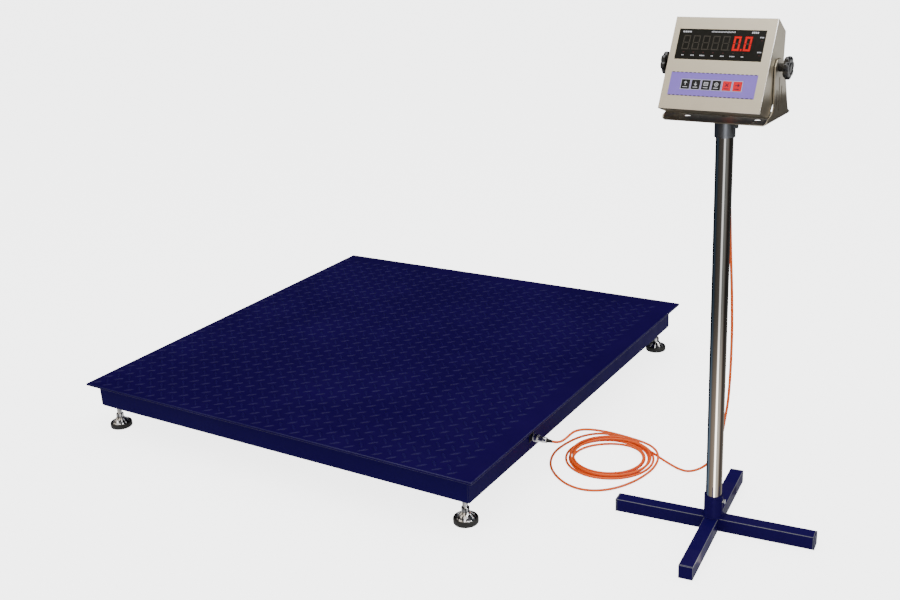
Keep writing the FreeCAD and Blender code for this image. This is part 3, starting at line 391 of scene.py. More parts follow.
class Finish(Shading):
    """A Principled shader for the object, whose inputs may come from textures."""

    def __init__(self, name, colour, roughness, metallic=0.0, **sockets):
        super().__init__(name)
        self.shader = self.tree.nodes["Principled BSDF"]
        self.colour = colour
        self.set("Base Color", (*colour, 1))
        self.set("Roughness", roughness)
        self.set("Metallic", metallic)
        for socket, value in sockets.items():
            self.set(socket.replace("_", " "), value)
        self.place = self.node("TexCoord").outputs["Object"]

    def set(self, socket, value):
        self.shader.inputs[socket].default_value = value

    def turn(self, matrix):
        """Measures the textures in a turned frame."""
        mapping = self.node("Mapping", Rotation=matrix.to_3x3().inverted().to_euler())
        self.link(self.place, mapping.inputs["Vector"])
        self.place = mapping.outputs["Vector"]

    def noise(self, size, stretch=(1, 1, 1), detail=3.0, roughness=0.55):
        """Noise whose features are about size millimetres, times stretch along each axis."""
        mapping = self.node("Mapping", Scale=[1 / (size * MM * factor) for factor in stretch])
        self.link(self.place, mapping.inputs["Vector"])
        noise = self.node("TexNoise", Scale=1.0, Detail=detail, Roughness=roughness)
        self.link(mapping.outputs["Vector"], noise.inputs["Vector"])
        return noise.outputs["Fac"]

    def multiply(self, first, second):
        product = self.node("Math")
        product.operation = "MULTIPLY"
        self.link(first, product.inputs[0])
        self.link(second, product.inputs[1])
        return product.outputs["Value"]

    def tint(self, factor, other):
        """Mixes the base colour towards another where factor is high; calls can follow each other."""
        current = self.shader.inputs["Base Color"]
        before = current.links[0].from_socket if current.is_linked else self.colour
        self.link(self.mix(factor, before, other), current)

    def rough(self, source, low, high):
        """Lets the roughness run from low to high with a value."""
        self.link(self.spread(source, 0.3, 0.7, low, high), self.shader.inputs["Roughness"])

    def bump(self, height, depth, strength=1.0):
        """Adds relief, depth millimetres deep, on top of any relief made before."""
        relief = self.node("Bump", Strength=strength, Distance=depth * MM)
        self.link(height, relief.inputs["Height"])
        current = self.shader.inputs["Normal"]
        if current.is_linked:
            self.link(current.links[0].from_socket, relief.inputs["Normal"])
        self.link(relief.outputs["Normal"], current)


def paint_finish(name, colour, lighter, roughness, specular):
    """Sprayed enamel: faint orange peel, patches of uneven gloss and dust."""
    finish = Finish(name, colour, roughness, Specular_IOR_Level=specular)
    finish.tint(finish.spread(finish.noise(220, detail=4), 0.42, 0.72), lighter)
    finish.rough(finish.noise(70, detail=5), roughness - 0.07, roughness + 0.1)
    finish.bump(finish.noise(2.6, detail=2), 0.05, 0.6)
    finish.bump(finish.noise(0.7, detail=1), 0.012, 0.5)
    return finish.material


def chrome_finish(name, colour, roughness, grain):
    """Bright plating with fine drawing lines along the part and dull smears."""
    finish = Finish(name, colour, roughness, metallic=1.0)
    finish.tint(finish.spread(finish.noise(60, grain, detail=4), 0.5, 0.75),
                tuple(0.82 * part for part in colour))
    smears = finish.spread(finish.noise(38, (1, 1, 2), detail=6, roughness=0.7), 0.58, 0.72)
    lines = finish.noise(1.2, grain, detail=2)
    finish.link(finish.spread(finish.multiply(smears, lines), 0.0, 0.6, roughness, roughness + 0.22),
                finish.shader.inputs["Roughness"])
    finish.bump(lines, 0.006, 0.35)
    return finish.material


def chrome_with_painted_streaks(name, colour, dark, roughness):
    """Plating over deep flutes, with a painted reflection: bright and dark streaks run up it."""
    finish = Finish(name, colour, roughness, metallic=1.0)
    # near-black streaks painted up the plating as reflections
    finish.tint(finish.spread(finish.noise(4.5, (1, 1, 14), detail=2), 0.44, 0.56), dark)
    finish.rough(finish.noise(9, (1, 1, 6), detail=4), roughness - 0.05, roughness + 0.12)
    finish.bump(finish.noise(1.0, (1, 1, 8), detail=2), 0.03, 0.5)
    return finish.material


def brushed_finish(name, colour, darker, roughness, turn, grain):
    """Fine brushed stainless: short drawn lines one way, and soft blotches of handling."""
    finish = Finish(name, colour, roughness, metallic=1.0)
    finish.turn(turn)
    lines = finish.noise(0.45, grain, detail=3, roughness=0.7)
    finish.tint(finish.spread(lines, 0.35, 0.8, 0.0, 0.55), darker)
    finish.tint(finish.spread(finish.noise(45, detail=4), 0.55, 0.75, 0.0, 0.35), darker)
    finish.rough(lines, roughness - 0.06, roughness + 0.12)
    finish.bump(lines, 0.012, 0.4)
    return finish.material


def moulded_finish(name, colour, roughness, grain_size, depth, specular=0.5, lighter=None):
    """Moulded plastic or rubber with a fine grain and slight unevenness of gloss."""
    finish = Finish(name, colour, roughness, Specular_IOR_Level=specular)
    finish.tint(finish.spread(finish.noise(12, detail=4), 0.5, 0.8, 0.0, 0.6),
                lighter or tuple(min(1.0, 1.5 * part + 0.01) for part in colour))
    finish.rough(finish.noise(9, detail=4), roughness - 0.06, roughness + 0.08)
    finish.bump(finish.noise(grain_size, detail=2), depth, 0.7)
    return finish.material


NAVY = (0.0065, 0.0002, 0.062)
DECK_NAVY = (0.0055, 0.0, 0.046)
deck_paint = paint_finish("deck_enamel", DECK_NAVY, (0.0075, 0.0004, 0.056), 0.34, 0.025)
tread_paint = paint_finish("tread_enamel", (0.007, 0.0008, 0.054), (0.009, 0.003, 0.062), 0.3, 0.07)
frame_paint = paint_finish("frame_enamel", NAVY, (0.008, 0.002, 0.066), 0.4, 0.02)
stand_paint = paint_finish("stand_enamel", NAVY, (0.008, 0.002, 0.066), 0.36, 0.04)
# The base's eased edges are painted pale grey: a painted highlight along them, partly rubbed paint.
highlit_edge_paint = paint_finish("rubbed_and_highlit_edge", (0.10, 0.10, 0.13), (0.2, 0.2, 0.21), 0.4, 0.4)
# The deck's and rails' eased edges are a paler, glossier navy: a faint painted edge highlight.
frame_edge_highlight = paint_finish("frame_edge_highlight", (0.012, 0.009, 0.07), (0.03, 0.028, 0.1), 0.38, 0.3)
column_chrome = chrome_finish("column_chrome", (0.80, 0.79, 0.77), 0.05, (1, 1, 60))
small_chrome = chrome_finish("small_chrome", (0.74, 0.74, 0.75), 0.12, (1, 1, 1))
# The feet's chrome carries painted reflections, near-black streaks up the cones and studs.
cup_chrome = chrome_with_painted_streaks("cup_chrome", (0.92, 0.92, 0.93), (0.035, 0.035, 0.04), 0.16)
plug_chrome = chrome_finish("plug_chrome", (0.96, 0.96, 0.96), 0.22, (1, 1, 1))
socket_black = moulded_finish("socket_black", (0.01, 0.01, 0.016), 0.4, 0.5, 0.02, 0.3)
steel = chrome_finish("machined_steel", (0.5, 0.5, 0.51), 0.3, (1, 1, 1))
zinc = chrome_finish("zinc_screw", (0.55, 0.6, 0.64), 0.22, (1, 1, 1))
collar_grey = brushed_finish("collar_metal", (0.40, 0.42, 0.46), (0.2, 0.22, 0.26), 0.36,
                             Matrix.Identity(4), (1, 1, 40))
stainless = brushed_finish("brushed_stainless", (0.60, 0.55, 0.445), (0.50, 0.455, 0.36), 0.36,
                           HEAD, (60, 1, 1))
# The bend strips of the housing are painted near white: a painted highlight along each bend.
stainless_bend_highlight = brushed_finish("painted_bend_highlight", (0.9, 0.87, 0.86), (0.8, 0.76, 0.72), 0.2,
                                HEAD, (1, 1, 60))
bracket_steel = brushed_finish("bracket_stainless", (0.54, 0.50, 0.42), (0.42, 0.385, 0.32), 0.38,
                               YAW, (60, 1, 1))
rubber = moulded_finish("foot_rubber", (0.014, 0.014, 0.014), 0.55, 0.5, 0.05, 0.4)
black_rubber = moulded_finish("boot_rubber", (0.012, 0.012, 0.012), 0.5, 0.4, 0.03, 0.4)
knob_black = moulded_finish("knob_phenolic", (0.006, 0.006, 0.007), 0.17, 1.5, 0.02, 0.5)
gland_black = moulded_finish("gland_nylon", (0.018, 0.018, 0.019), 0.42, 0.5, 0.02, 0.45)
orange = moulded_finish("orange_jacket", (0.95, 0.125, 0.008), 0.36, 0.9, 0.02, 0.3, (1.0, 0.16, 0.02))
lavender = moulded_finish("keypad_film", (0.25, 0.155, 0.62), 0.42, 0.35, 0.012, 0.25, (0.28, 0.18, 0.66))
window_dark = moulded_finish("tinted_window", (0.0075, 0.0075, 0.006), 0.16, 30, 0.02, 0.16,
                             (0.01, 0.01, 0.008))
key_black = moulded_finish("key_black", (0.008, 0.008, 0.009), 0.4, 0.3, 0.01, 0.2)
key_red = moulded_finish("key_red", (0.80, 0.006, 0.02), 0.4, 0.3, 0.01, 0.2, (0.85, 0.012, 0.03))
white_print = moulded_finish("white_print", (0.6, 0.6, 0.63), 0.45, 0.4, 0.004, 0.2)
dark_print = moulded_finish("dark_print", (0.02, 0.016, 0.04), 0.45, 0.4, 0.004, 0.2)
unlit_print = moulded_finish("unlit_segment", (0.032, 0.026, 0.018), 0.4, 2, 0.004, 0.25)
lamp_print = moulded_finish("unlit_lamp", (0.05, 0.006, 0.006), 0.35, 1, 0.004, 0.25)
box_alloy = moulded_finish("cast_alloy", (0.42, 0.42, 0.42), 0.45, 0.8, 0.08, 0.6)
lead_grey = moulded_finish("lead_jacket", (0.06, 0.06, 0.065), 0.45, 0.8, 0.02, 0.4)
board_green = moulded_finish("solder_mask", (0.01, 0.1, 0.035), 0.35, 4, 0.03, 0.5)
battery_case = moulded_finish("battery_case", (0.03, 0.03, 0.034), 0.5, 1, 0.05, 0.4)
iron = moulded_finish("laminated_iron", (0.09, 0.085, 0.08), 0.5, 0.5, 0.05, 0.5)
digit_plastic = moulded_finish("digit_plastic", (0.03, 0.03, 0.03), 0.5, 1, 0.02, 0.4)


def glow_finish(name, colour, strength):
    """A lit segment, a little uneven over its face."""
    finish = Finish(name, colour, 0.4)
    finish.tint(finish.spread(finish.noise(3, detail=2), 0.45, 0.8, 0.0, 0.3),
                tuple(0.8 * part for part in colour))
    finish.set("Emission Color", (1.0, 0.001, 0.001, 1))
    finish.set("Specular IOR Level", 0.1)
    finish.set("Emission Strength", strength)
    return finish.material


lit_red = glow_finish("lit_segment", (0.3, 0.001, 0.001), 0.64)


# ---- signal cable

CABLE_DIA = 6
FLOOR_LOOP = [
    (308, -288, 99), (321, -288, 100), (330, -281, 103), (335, -268, 107), (336, -250, 108.5),
    (337, -228, 106.5), (345, -203, 101), (358, -178, 92), (376, -151, 79), (396, -124, 64),
    (417, -101, 49), (441, -83, 36), (465, -75, 26), (484, -81, 17), (495, -99, 10), (499, -125, 5),
    (498, -158, 3.1), (489, -203, 3.1), (472, -245, 3.1), (448, -279, 3.1), (418, -301, 3.1),
    (384, -309, 3.1), (346, -301, 3.1), (308, -277, 3.1), (277, -244, 3.1), (259, -208, 3.1),
    (250, -168, 3.1), (253, -129, 3.1), (262, -91, 3.1), (277, -58, 3.1), (300, -34, 3.1),
    (328, -23, 3.4), (358, -22, 3.8), (390, -27, 3.8),
]
RISER = [
    (446, -66, 9.2), (465, -74, 8.6), (487, -84, 5.5), (510, -95, 3.3), (534, -108, 3.1), (556, -118, 3.3),
    (577, -122, 4.5), (597, -119, 11.5), (615, -116, 24), (631, -118, 44), (645, -126, 70), (657, -137, 102),
    (668, -151, 138), (677, -165, 178), (686, -176, 222), (692, -186, 268), (697, -197, 320),
    (701, -208, 373), (704, -218, 428), (705, -227, 483), (705, -235, 540), (703, -240, 598),
    (701, -242, 656), (698, -242, 714), (695, -241, 772), (692, -239, 830), (690, -237, 880),
    (689, -235, 925),
]
TAIL = [(688, -237, 958), (687, -244, 984), (687.182, -257.074, 998.331), (686.695, -271.017, 999.503)]
COIL_CENTRE = (385, -138)
POINTS_PER_TURN = 20
ON_FLOOR = 3.1
ON_TURNS = 9.3
# the loose coil at every quarter turn, wound clockwise: its radius, and the height of the cable's middle
COIL_RADII = (106, 104, 108, 102, 94, 96.5, 99, 95, 85, 82, 91.5, 72, 80, 89, 90, 90, 98, 100, 96.5, 103, 96)
COIL_HEIGHTS = [ON_FLOOR] * 11 + [ON_FLOOR + 1, ON_TURNS - 1] + [ON_TURNS] * 8
QUARTERS_START = math.radians(33)
COIL_ENTRY = math.radians(62)
COIL_EXIT = math.radians(57)
COIL_WHOLE_TURNS = 5


def between(before, here, after, beyond, part):
    """A smooth curve through four evenly spaced values, part of the way from the second to the third."""
    bend = (3 * (here - after) + beyond - before) * part + 2 * before - 5 * here + 4 * after - beyond
    return here + part / 2 * (after - before + part * bend)


def coil_points():
    """The turns wind clockwise as seen from above, each a little off the last."""
    sweep = COIL_WHOLE_TURNS * 2 * math.pi + COIL_ENTRY - COIL_EXIT
    count = int(sweep / (2 * math.pi) * POINTS_PER_TURN)
    quarters = list(zip(COIL_RADII, COIL_HEIGHTS))
    points = []
    for index in range(count + 1):
        angle = COIL_ENTRY - sweep * index / count
        quarter, part = divmod((QUARTERS_START - angle) / (math.pi / 2), 1)
        near = [quarters[min(max(int(quarter) + shift, 0), len(quarters) - 1)] for shift in (-1, 0, 1, 2)]
        radius, height = (between(*values, part) for values in zip(*near))
        points.append((COIL_CENTRE[0] + radius * math.cos(angle),
                       COIL_CENTRE[1] + radius * math.sin(angle), height))
    return points


def spline_line(name, route):
    """Points of the smooth NURBS line whose control points are the route, in metres."""
    data = bpy.data.curves.new(name, "CURVE")
    data.dimensions = "3D"
    spline = data.splines.new("NURBS")
    spline.points.add(len(route) - 1)
    for point, place in zip(spline.points, route):
        point.co = (*(Vector(place) * MM), 1)
    spline.order_u = 3
    spline.use_endpoint_u = True
    spline.resolution_u = 6
    holder = bpy.data.objects.new(name, data)
    mesh = bpy.data.meshes.new_from_object(holder)
    line = [vertex.co.copy() for vertex in mesh.vertices]
    bpy.data.objects.remove(holder)
    return line


CABLE_ROUTE = FLOOR_LOOP + coil_points() + RISER + TAIL
cable_line = spline_line("cable_line", CABLE_ROUTE)
cable_piece = new_piece("signal_cable", tube("signal_cable", cable_line, CABLE_DIA / 2 * MM), orange,
                        None,
                        ("cable_floor_loop", "cable_coil", "cable_riser", "cable_tail"), angle=60)
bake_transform(cable_piece)


# ---- plug and boot of the cable

SOCKET_Y, SOCKET_Z = middle("cable_plug").y, middle("cable_plug").z
PLUG = Matrix.Translation((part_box("cable_plug")[0].x, SOCKET_Y, SOCKET_Z)) @ ALONG_X
BOOT = Matrix.Translation((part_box("cable_boot")[0].x, SOCKET_Y, SOCKET_Z)) @ ALONG_X
GRIP_START, GRIP_END = 3.2, 11.4
KNURL_DEPTH = 0.35
KNURL_TEETH = 24
BOOT_RIBS = 5
BOOT_LENGTH = 15.0
BOOT_RADIUS = 4.9
BOOT_TAPER = 1.5
RIB_DEPTH = 0.7


def plug():
    """Screwed coupling nut with a knurled grip, a plain body and the cable clamp."""
    profile = [(0.5, 0), (8.2, 0), (9.2, 0.8), (9.2, 1.6), (8.6, 2.2), (8.6, 2.6),
               (9.5, GRIP_START), (9.5, GRIP_END), (8.6, 12.2), (8.6, 13.2), (8.0, 14), (7.6, 14.2),
               (7.6, 24.6), (7.9, 25.2), (7.9, 26.2), (7.0, 26.8), (7.0, 34.0), (6.2, 35), (0.5, 35)]

    def knurl(angle, radius, height):
        if not GRIP_START <= height <= GRIP_END:
            return radius
        return radius - KNURL_DEPTH * (1 + math.cos(KNURL_TEETH * angle)) / 2

    return new_piece("cable_plug_piece", lathe("cable_plug_piece", profile, PLUG, 144, knurl), plug_chrome,
                     "scale_frame", ("cable_plug",))


def boot():
    """Tapered strain relief with rounded ribs that shrink towards the cable."""
    profile = [(0.5, 0), (BOOT_RADIUS, 0)]
    for rib in range(BOOT_RIBS):
        start = BOOT_LENGTH * rib / BOOT_RIBS
        reach = BOOT_RADIUS - BOOT_TAPER * rib / (BOOT_RIBS - 1)
        root = reach - RIB_DEPTH
        profile += [(reach, start + 0.5), (reach, start + 1.9), (root, start + 2.2), (root, start + 2.8)]
    profile += [(2.9, BOOT_LENGTH), (0.5, BOOT_LENGTH)]
    return new_piece("cable_boot_piece", lathe("cable_boot_piece", profile, BOOT, 40), black_rubber,
                     "scale_frame", ("cable_boot",))


plug_piece = plug()
boot_piece = boot()


# ---- platform

def deck():
    # the eased edges take the paler navy, a faint painted edge highlight
    softened("deck_plate", 1.0, deck_paint, frame_edge_highlight)
    for side in ("right", "rear", "left", "front"):
        softened("rail_" + side, 2.2, frame_paint, frame_edge_highlight, segments=3)
    paint("deck_ribs", frame_paint)
    paint("load_cell_spacers", steel)


TREAD_PITCH = 40
LOZENGE_LENGTH = 30
LOZENGE_WIDTH = 8.5
LOZENGE_CORNERS = 14
# each layer's share of the outline, and its height
LOZENGE_LAYERS = ((1.0, -0.15), (0.86, 0.8), (0.6, 1.5), (0.3, 1.9))
LOZENGE_POINT = 1.35


def lozenge():
    """The outline of one lozenge: an oval drawn out to a point at both ends."""
    outline = []
    for index in range(LOZENGE_CORNERS):
        angle = 2 * math.pi * index / LOZENGE_CORNERS
        pinch = math.copysign(abs(math.sin(angle)) ** LOZENGE_POINT, math.sin(angle))
        outline.append((LOZENGE_LENGTH / 2 * math.cos(angle), LOZENGE_WIDTH / 2 * pinch))
    return outline


def tread():
    """Raised lozenges, turned one way and the other in two interleaved square lattices."""
    low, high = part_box("deck_plate")
    reach = (high.x - low.x) / 2 / MM
    cells = int(2 * reach / TREAD_PITCH)
    outline = lozenge()
    points = []
    faces = []
    for way, shift, rows in ((1, 0.5, cells), (-1, 1.0, cells - 1)):
        turn = Matrix.Rotation(math.radians(45 * way), 2)
        spots = [Vector((column + shift, row + shift)) * TREAD_PITCH - Vector((reach, reach))
                 for column in range(rows) for row in range(rows)]
        for centre in spots:
            start = len(points)
            for scale, height in LOZENGE_LAYERS:
                for corner in outline:
                    spot = centre + turn @ Vector(corner) * scale
                    points.append(PLATFORM @ Vector((spot.x * MM, spot.y * MM, high.z + height * MM)))
            for layer in range(len(LOZENGE_LAYERS) - 1):
                base = start + layer * LOZENGE_CORNERS
                above = base + LOZENGE_CORNERS
                for index in range(LOZENGE_CORNERS):
                    after = (index + 1) % LOZENGE_CORNERS
                    faces.append((base + index, base + after, above + after, above + index))
            faces.append(tuple(range(above, above + LOZENGE_CORNERS)))
    mesh = bpy.data.meshes.new("deck_tread")
    mesh.from_pydata([tuple(point) for point in points], [], faces)
    new_piece("deck_tread", mesh, tread_paint, "scale_frame", angle=50)


WELD_STEP = 0.65
WELD_RIPPLE = 2.6
WELD_TAPER = 3
STITCHES = 7
STITCH_PITCH = 165
STITCH_LENGTH = 36
STITCH_RADIUS = 2.4
CORNER_WELD_RADIUS = 1.7


def bead(start, end, radius):
    """A weld bead between two points in metres, with the scales that the passes leave."""
    run = end - start
    steps = max(6, int(run.length / MM / WELD_STEP))
    line = [start + run * index / steps for index in range(steps + 1)]

    def reach(walked):
        end_taper = min(1.0, 0.35 + min(walked, run.length - walked) / (WELD_TAPER * MM))
        return radius * MM * end_taper * (0.9 + 0.12 * math.sin(walked / MM * 2 * math.pi / WELD_RIPPLE))

    return line, reach


def joined_mesh(name, meshes):
    """One mesh from several."""
    work = bmesh.new()
    for mesh in meshes:
        work.from_mesh(mesh)
    whole = bpy.data.meshes.new(name)
    work.to_mesh(whole)
    work.free()
    return whole


def rail_welds():
    """Stitch welds under the deck's overhang, and the upright welds of the four mitred corners."""
    low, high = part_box("rail_front")
    reach = (high.x - low.x) / 2
    top = high.z
    meshes = []
    for quarter in range(4):
        turn = PLATFORM @ Matrix.Rotation(math.radians(90 * quarter), 4, "Z")
        for number in range(STITCHES):
            centre = (number - (STITCHES - 1) / 2) * STITCH_PITCH * MM
            half = STITCH_LENGTH / 2 * MM
            line, radius = bead(turn @ Vector((centre - half, -reach, top)),
                                turn @ Vector((centre + half, -reach, top)), STITCH_RADIUS)
            meshes.append(tube("stitch", line, radius, 8))
        line, radius = bead(turn @ Vector((reach, -reach, low.z + 2 * MM)),
                            turn @ Vector((reach, -reach, top)), CORNER_WELD_RADIUS)
        meshes.append(tube("corner_weld", line, radius, 8))
    new_piece("rail_welds", joined_mesh("rail_welds", meshes), frame_paint, "scale_frame",
              angle=70)


THREAD_PITCH = 1.75
THREAD_CREST = 5.95
THREAD_RADIUS = 0.5
THREAD_STEPS = 20
THREAD_LOW, THREAD_HIGH = 40.5, 74
CUP_FLUTES = 14
FLUTE_DEPTH = 0.07
FLUTES_LOW, FLUTES_HIGH, FLUTES_FADE = 12, 28, 3


def foot_pad(spot):
    """Rubber ring with a groove round its side and a rolled rim."""
    profile = [(1, 0), (26.0, 0), (28.2, 1.0), (29, 2.8), (29, 4.6), (28.4, 5.2), (28.4, 6.0), (29, 6.6),
               (29, 10.6), (28.6, 12.6), (27.7, 14.2), (26.4, 15), (25.4, 14.7), (24.8, 13.6),
               (24.6, 9.2), (1, 9.2)]
    return lathe("pad", profile, spot)


def foot_cup(spot):
    """Cone pressed from plate, fluted between its rim and its neck."""
    profile = [(0.5, 9.2), (24.2, 9.2), (24.2, 12.6), (23.9, 13.6), (22.6, 15.2), (20.2, 17.4),
               (17.4, 19.9), (14.8, 22.4), (12.6, 24.8), (10.9, 27.2), (10.1, 28.4), (9.4, 29), (0.5, 29)]

    def flutes(angle, radius, height):
        above = max(0.0, min(1.0, (height - FLUTES_LOW) / FLUTES_FADE))
        below = max(0.0, min(1.0, (FLUTES_HIGH - height) / FLUTES_FADE))
        wave = abs(math.sin(CUP_FLUTES * angle / 2)) ** 0.7
        return radius * (1 - FLUTE_DEPTH * above * below * wave)

    return lathe("cup", profile, spot, CUP_FLUTES * 8, flutes)


def foot_thread(spot):
    """The crest of the stud's thread, wound upwards."""
    line = []
    steps = int((THREAD_HIGH - THREAD_LOW) / THREAD_PITCH * THREAD_STEPS)
    for index in range(steps + 1):
        angle = 2 * math.pi * index / THREAD_STEPS
        height = THREAD_LOW + (THREAD_HIGH - THREAD_LOW) * index / steps
        line.append(spot @ (Vector((THREAD_CREST * math.cos(angle), THREAD_CREST * math.sin(angle),
                                    height)) * MM))
    return tube("thread", line, THREAD_RADIUS * MM, 6)


def feet():
    for place in PLACES:
        centre = middle("foot_pad_" + place)
        spot = Matrix.Translation((centre.x, centre.y, 0))
        new_piece("foot_pad_%s_piece" % place, foot_pad(spot), rubber, "foot_" + place,
                  ("foot_pad_" + place,))
        new_piece("foot_cup_%s_piece" % place, foot_cup(spot), cup_chrome, "foot_" + place,
                  ("foot_cup_" + place,), angle=50)
        softened("foot_stud_" + place, 0.6, cup_chrome)
        new_piece("foot_thread_" + place, foot_thread(spot), small_chrome, "stud_" + place,
                  angle=80)


def underside():
    for node in ("load_cells", "load_cell_bolts", "foot_lock_nuts"):
        paint(node, steel)
    softened("junction_box", 1.0, box_alloy)
    softened("junction_box_lid", 0.6, box_alloy)
    paint("sensor_leads", lead_grey)
    paint("cable_socket", socket_black)


deck()
tread()
rail_welds()
feet()
underside()


# ---- column and base

def stand():
    # the eased edges of the base take the pale grey edge paint, a painted highlight that is partly rubbed
    # paint
    for node in ("base_long_tube", "base_side_tubes"):
        softened(node, 1.3, stand_paint, highlit_edge_paint, segments=3)
    softened("base_end_caps", 0.9, stand_paint, highlit_edge_paint)
    softened("base_socket", 0.8, stand_paint, highlit_edge_paint)
    softened("top_collar", 0.6, collar_grey)
    paint("column", column_chrome)
    paint("column_screws", zinc)
    paint("bracket", bracket_steel)


RING_WELD_CENTRE = 21.5
RING_WELD_RADIUS = 2.2
RING_WELD_RIPPLE = 0.25
RING_WELD_STEPS = 180
TUBE_HALF = 15
BUTT_WELD_RADIUS = 1.6
BUTT_WELD_LOW, BUTT_WELD_HIGH = 2, 29.5


def socket_weld():
    """The ring of weld between socket and cross, and the beads where the side tubes butt on the long one."""
    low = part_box("base_socket")[0].z
    ring = circle(RING_WELD_CENTRE, RING_WELD_STEPS)
    line = [STAND @ Vector((x * MM, y * MM, low + 0.5 * MM)) for x, y in ring + ring[:1]]

    def reach(walked):
        return (RING_WELD_RADIUS + RING_WELD_RIPPLE * math.sin(walked / MM * 2.3)) * MM

    meshes = [tube("ring_weld", line, reach, 10)]
    turn = STAND @ Matrix.Rotation(BASE_TURN, 4, "Z")
    for side_x in (-TUBE_HALF, TUBE_HALF):
        for side_y in (-TUBE_HALF, TUBE_HALF):
            line, radius = bead(turn @ (Vector((side_x, side_y, BUTT_WELD_LOW)) * MM),
                                turn @ (Vector((side_x, side_y, BUTT_WELD_HIGH)) * MM), BUTT_WELD_RADIUS)
            meshes.append(tube("corner_weld", line, radius, 8))
    new_piece("base_welds", joined_mesh("base_welds", meshes), stand_paint, "scale_frame",
              angle=70)


stand()
socket_weld()


# ---- indicator

FACE_Y = -42
KEYPAD_Y = -42.5
KEY_Y = -43.2
PRINT = 0.12
DIGIT_WIDTH = 13.4
DIGIT_HEIGHT = 27.4
DIGIT_SLANT = math.tan(math.radians(2))
DIGIT_FIRST, DIGIT_PITCH, DIGIT_Z = -68.5, 19.2, 27.2
DIGITS = 7
LIT_DIGITS = (5, 6)
LIT_SHIFT = 1.6
UNLIT_WIDTH, LIT_WIDTH = 2.0, 3.7
MIDDLE_BAR = 6
LAMP_Z, MARK_Z = 8.5, 2.6
SIDE_LAMP_X, SIDE_MARK_X = 75, 71.5


def face_piece(name, outlines, surface, material, body="indicator"):
    """Thin shapes standing on a surface of the indicator's face."""
    return new_piece(name, slabs(name, outlines, surface, surface - PRINT, HEAD), material, body)


def digit_centre(number):
    return DIGIT_FIRST + number * DIGIT_PITCH + (number - 4) * LIT_SHIFT * (number in LIT_DIGITS)


def digit_segments(number, width):
    """Seven square-ended bars of one digit: top, bottom, the four uprights, and the middle bar last."""
    gap = 0.35
    side = (DIGIT_WIDTH - width) / 2
    upright = DIGIT_HEIGHT / 2 - width - 2 * gap
    level = (DIGIT_HEIGHT - width) / 2
    rise = gap + upright / 2 + 0.2
    bars = [bar(0, level, DIGIT_WIDTH, width), bar(0, -level, DIGIT_WIDTH, width)]
    bars += [bar(x, z, width, upright) for x in (-side, side) for z in (-rise, rise)]
    bars.append(bar(0, 0, DIGIT_WIDTH - 2 * width - 2 * gap, width * 0.8))
    centre = digit_centre(number)
    return [[(centre + x + z * DIGIT_SLANT, DIGIT_Z + z) for x, z in outline] for outline in bars]


def digits():
    """The digits seen through the window: two lit with the point between them, five unlit with theirs."""
    unlit = []
    lit = []
    foot = DIGIT_Z - DIGIT_HEIGHT / 2
    for number in range(DIGITS):
        if number in LIT_DIGITS:
            bars = digit_segments(number, LIT_WIDTH)
            lit += bars[:MIDDLE_BAR]
            unlit.append(bars[MIDDLE_BAR])
        else:
            unlit += digit_segments(number, UNLIT_WIDTH)
            unlit.append(bar(digit_centre(number) + DIGIT_PITCH / 2 - 1, foot + 1, 1.6, 1.6))
    point = (digit_centre(5) + digit_centre(6)) / 2 - DIGIT_SLANT * DIGIT_HEIGHT / 2
    lit.append(bar(point, foot + 1.9, 3.2, 3.8))
    face_piece("unlit_segments", unlit, FACE_Y, unlit_print)
    face_piece("lit_segments", lit, FACE_Y, lit_red)


def window_marks():
    """The lamps under and beside the digits, and plain marks in place of every label."""
    lamps = [bar(DIGIT_FIRST + number * DIGIT_PITCH - 1.5, LAMP_Z, 3.2, 1.6) for number in range(DIGITS)]
    lamps += [bar(SIDE_LAMP_X, z, 3.0, 1.6) for z in (34, 6)]
    face_piece("unlit_lamps", lamps, FACE_Y, lamp_print)
    marks = []
    for number in range(DIGITS):
        x = DIGIT_FIRST + number * DIGIT_PITCH - 2.5
        for step in range(2 + number % 3):
            marks.append(bar(x + (step - (1 + number % 3) / 2) * 2.5, MARK_Z, 1.7, 2.0))
    for z in (40, 12):
        marks += [bar(SIDE_MARK_X + step * 2.6, z, 1.8, 2.2) for step in range(3)]
    marks += [bar(55 + step * 3.4, 48.6, 2.4, 3.4) for step in range(4)]
    marks += [bar(-77 + step * 4.4, 47.8, 3.4, 2.8) for step in range(4)]
    for step in range(16):
        tall = step % 2
        marks.append(bar(-22 + step * 2.9, 48.4 + 0.3 * tall, 1.7, 2.0 + 0.8 * tall))
    face_piece("window_marks", marks, FACE_Y, white_print)


def display():
    digits()
    window_marks()
    for node, material in (("display_window", window_dark), ("digit_modules", digit_plastic),
                           ("circuit_boards", board_green), ("battery", battery_case),
                           ("transformer", iron)):
        paint(node, material)


KEY_FIRST, KEY_PITCH, KEY_Z = -52.8, 20, -53.2
KEY_WIDTH, KEY_HEIGHT = 16, 17.5
KEYS = 6
FIRST_RED_KEY = 4
KEY_LINE = 1.3
KEY_FRAME = 0.8
DASH_ROWS = (-30.7, -74.8)
DASHES = 20
DASH_FIRST, DASH_PITCH = -80.4, 8.3


def arrow(x, z, heading, tail):
    """A shaft and two barbs that point along heading."""
    centre = Vector((x, z))
    along = Vector(heading)
    side = Vector((-along.y, along.x)) * 2.8
    tip = centre + along * 3.6
    return [stroke(centre - along * tail, centre + along * 3.2, KEY_LINE),
            stroke(centre + along * 0.6 + side, tip, KEY_LINE),
            stroke(centre + along * 0.6 - side, tip, KEY_LINE)]


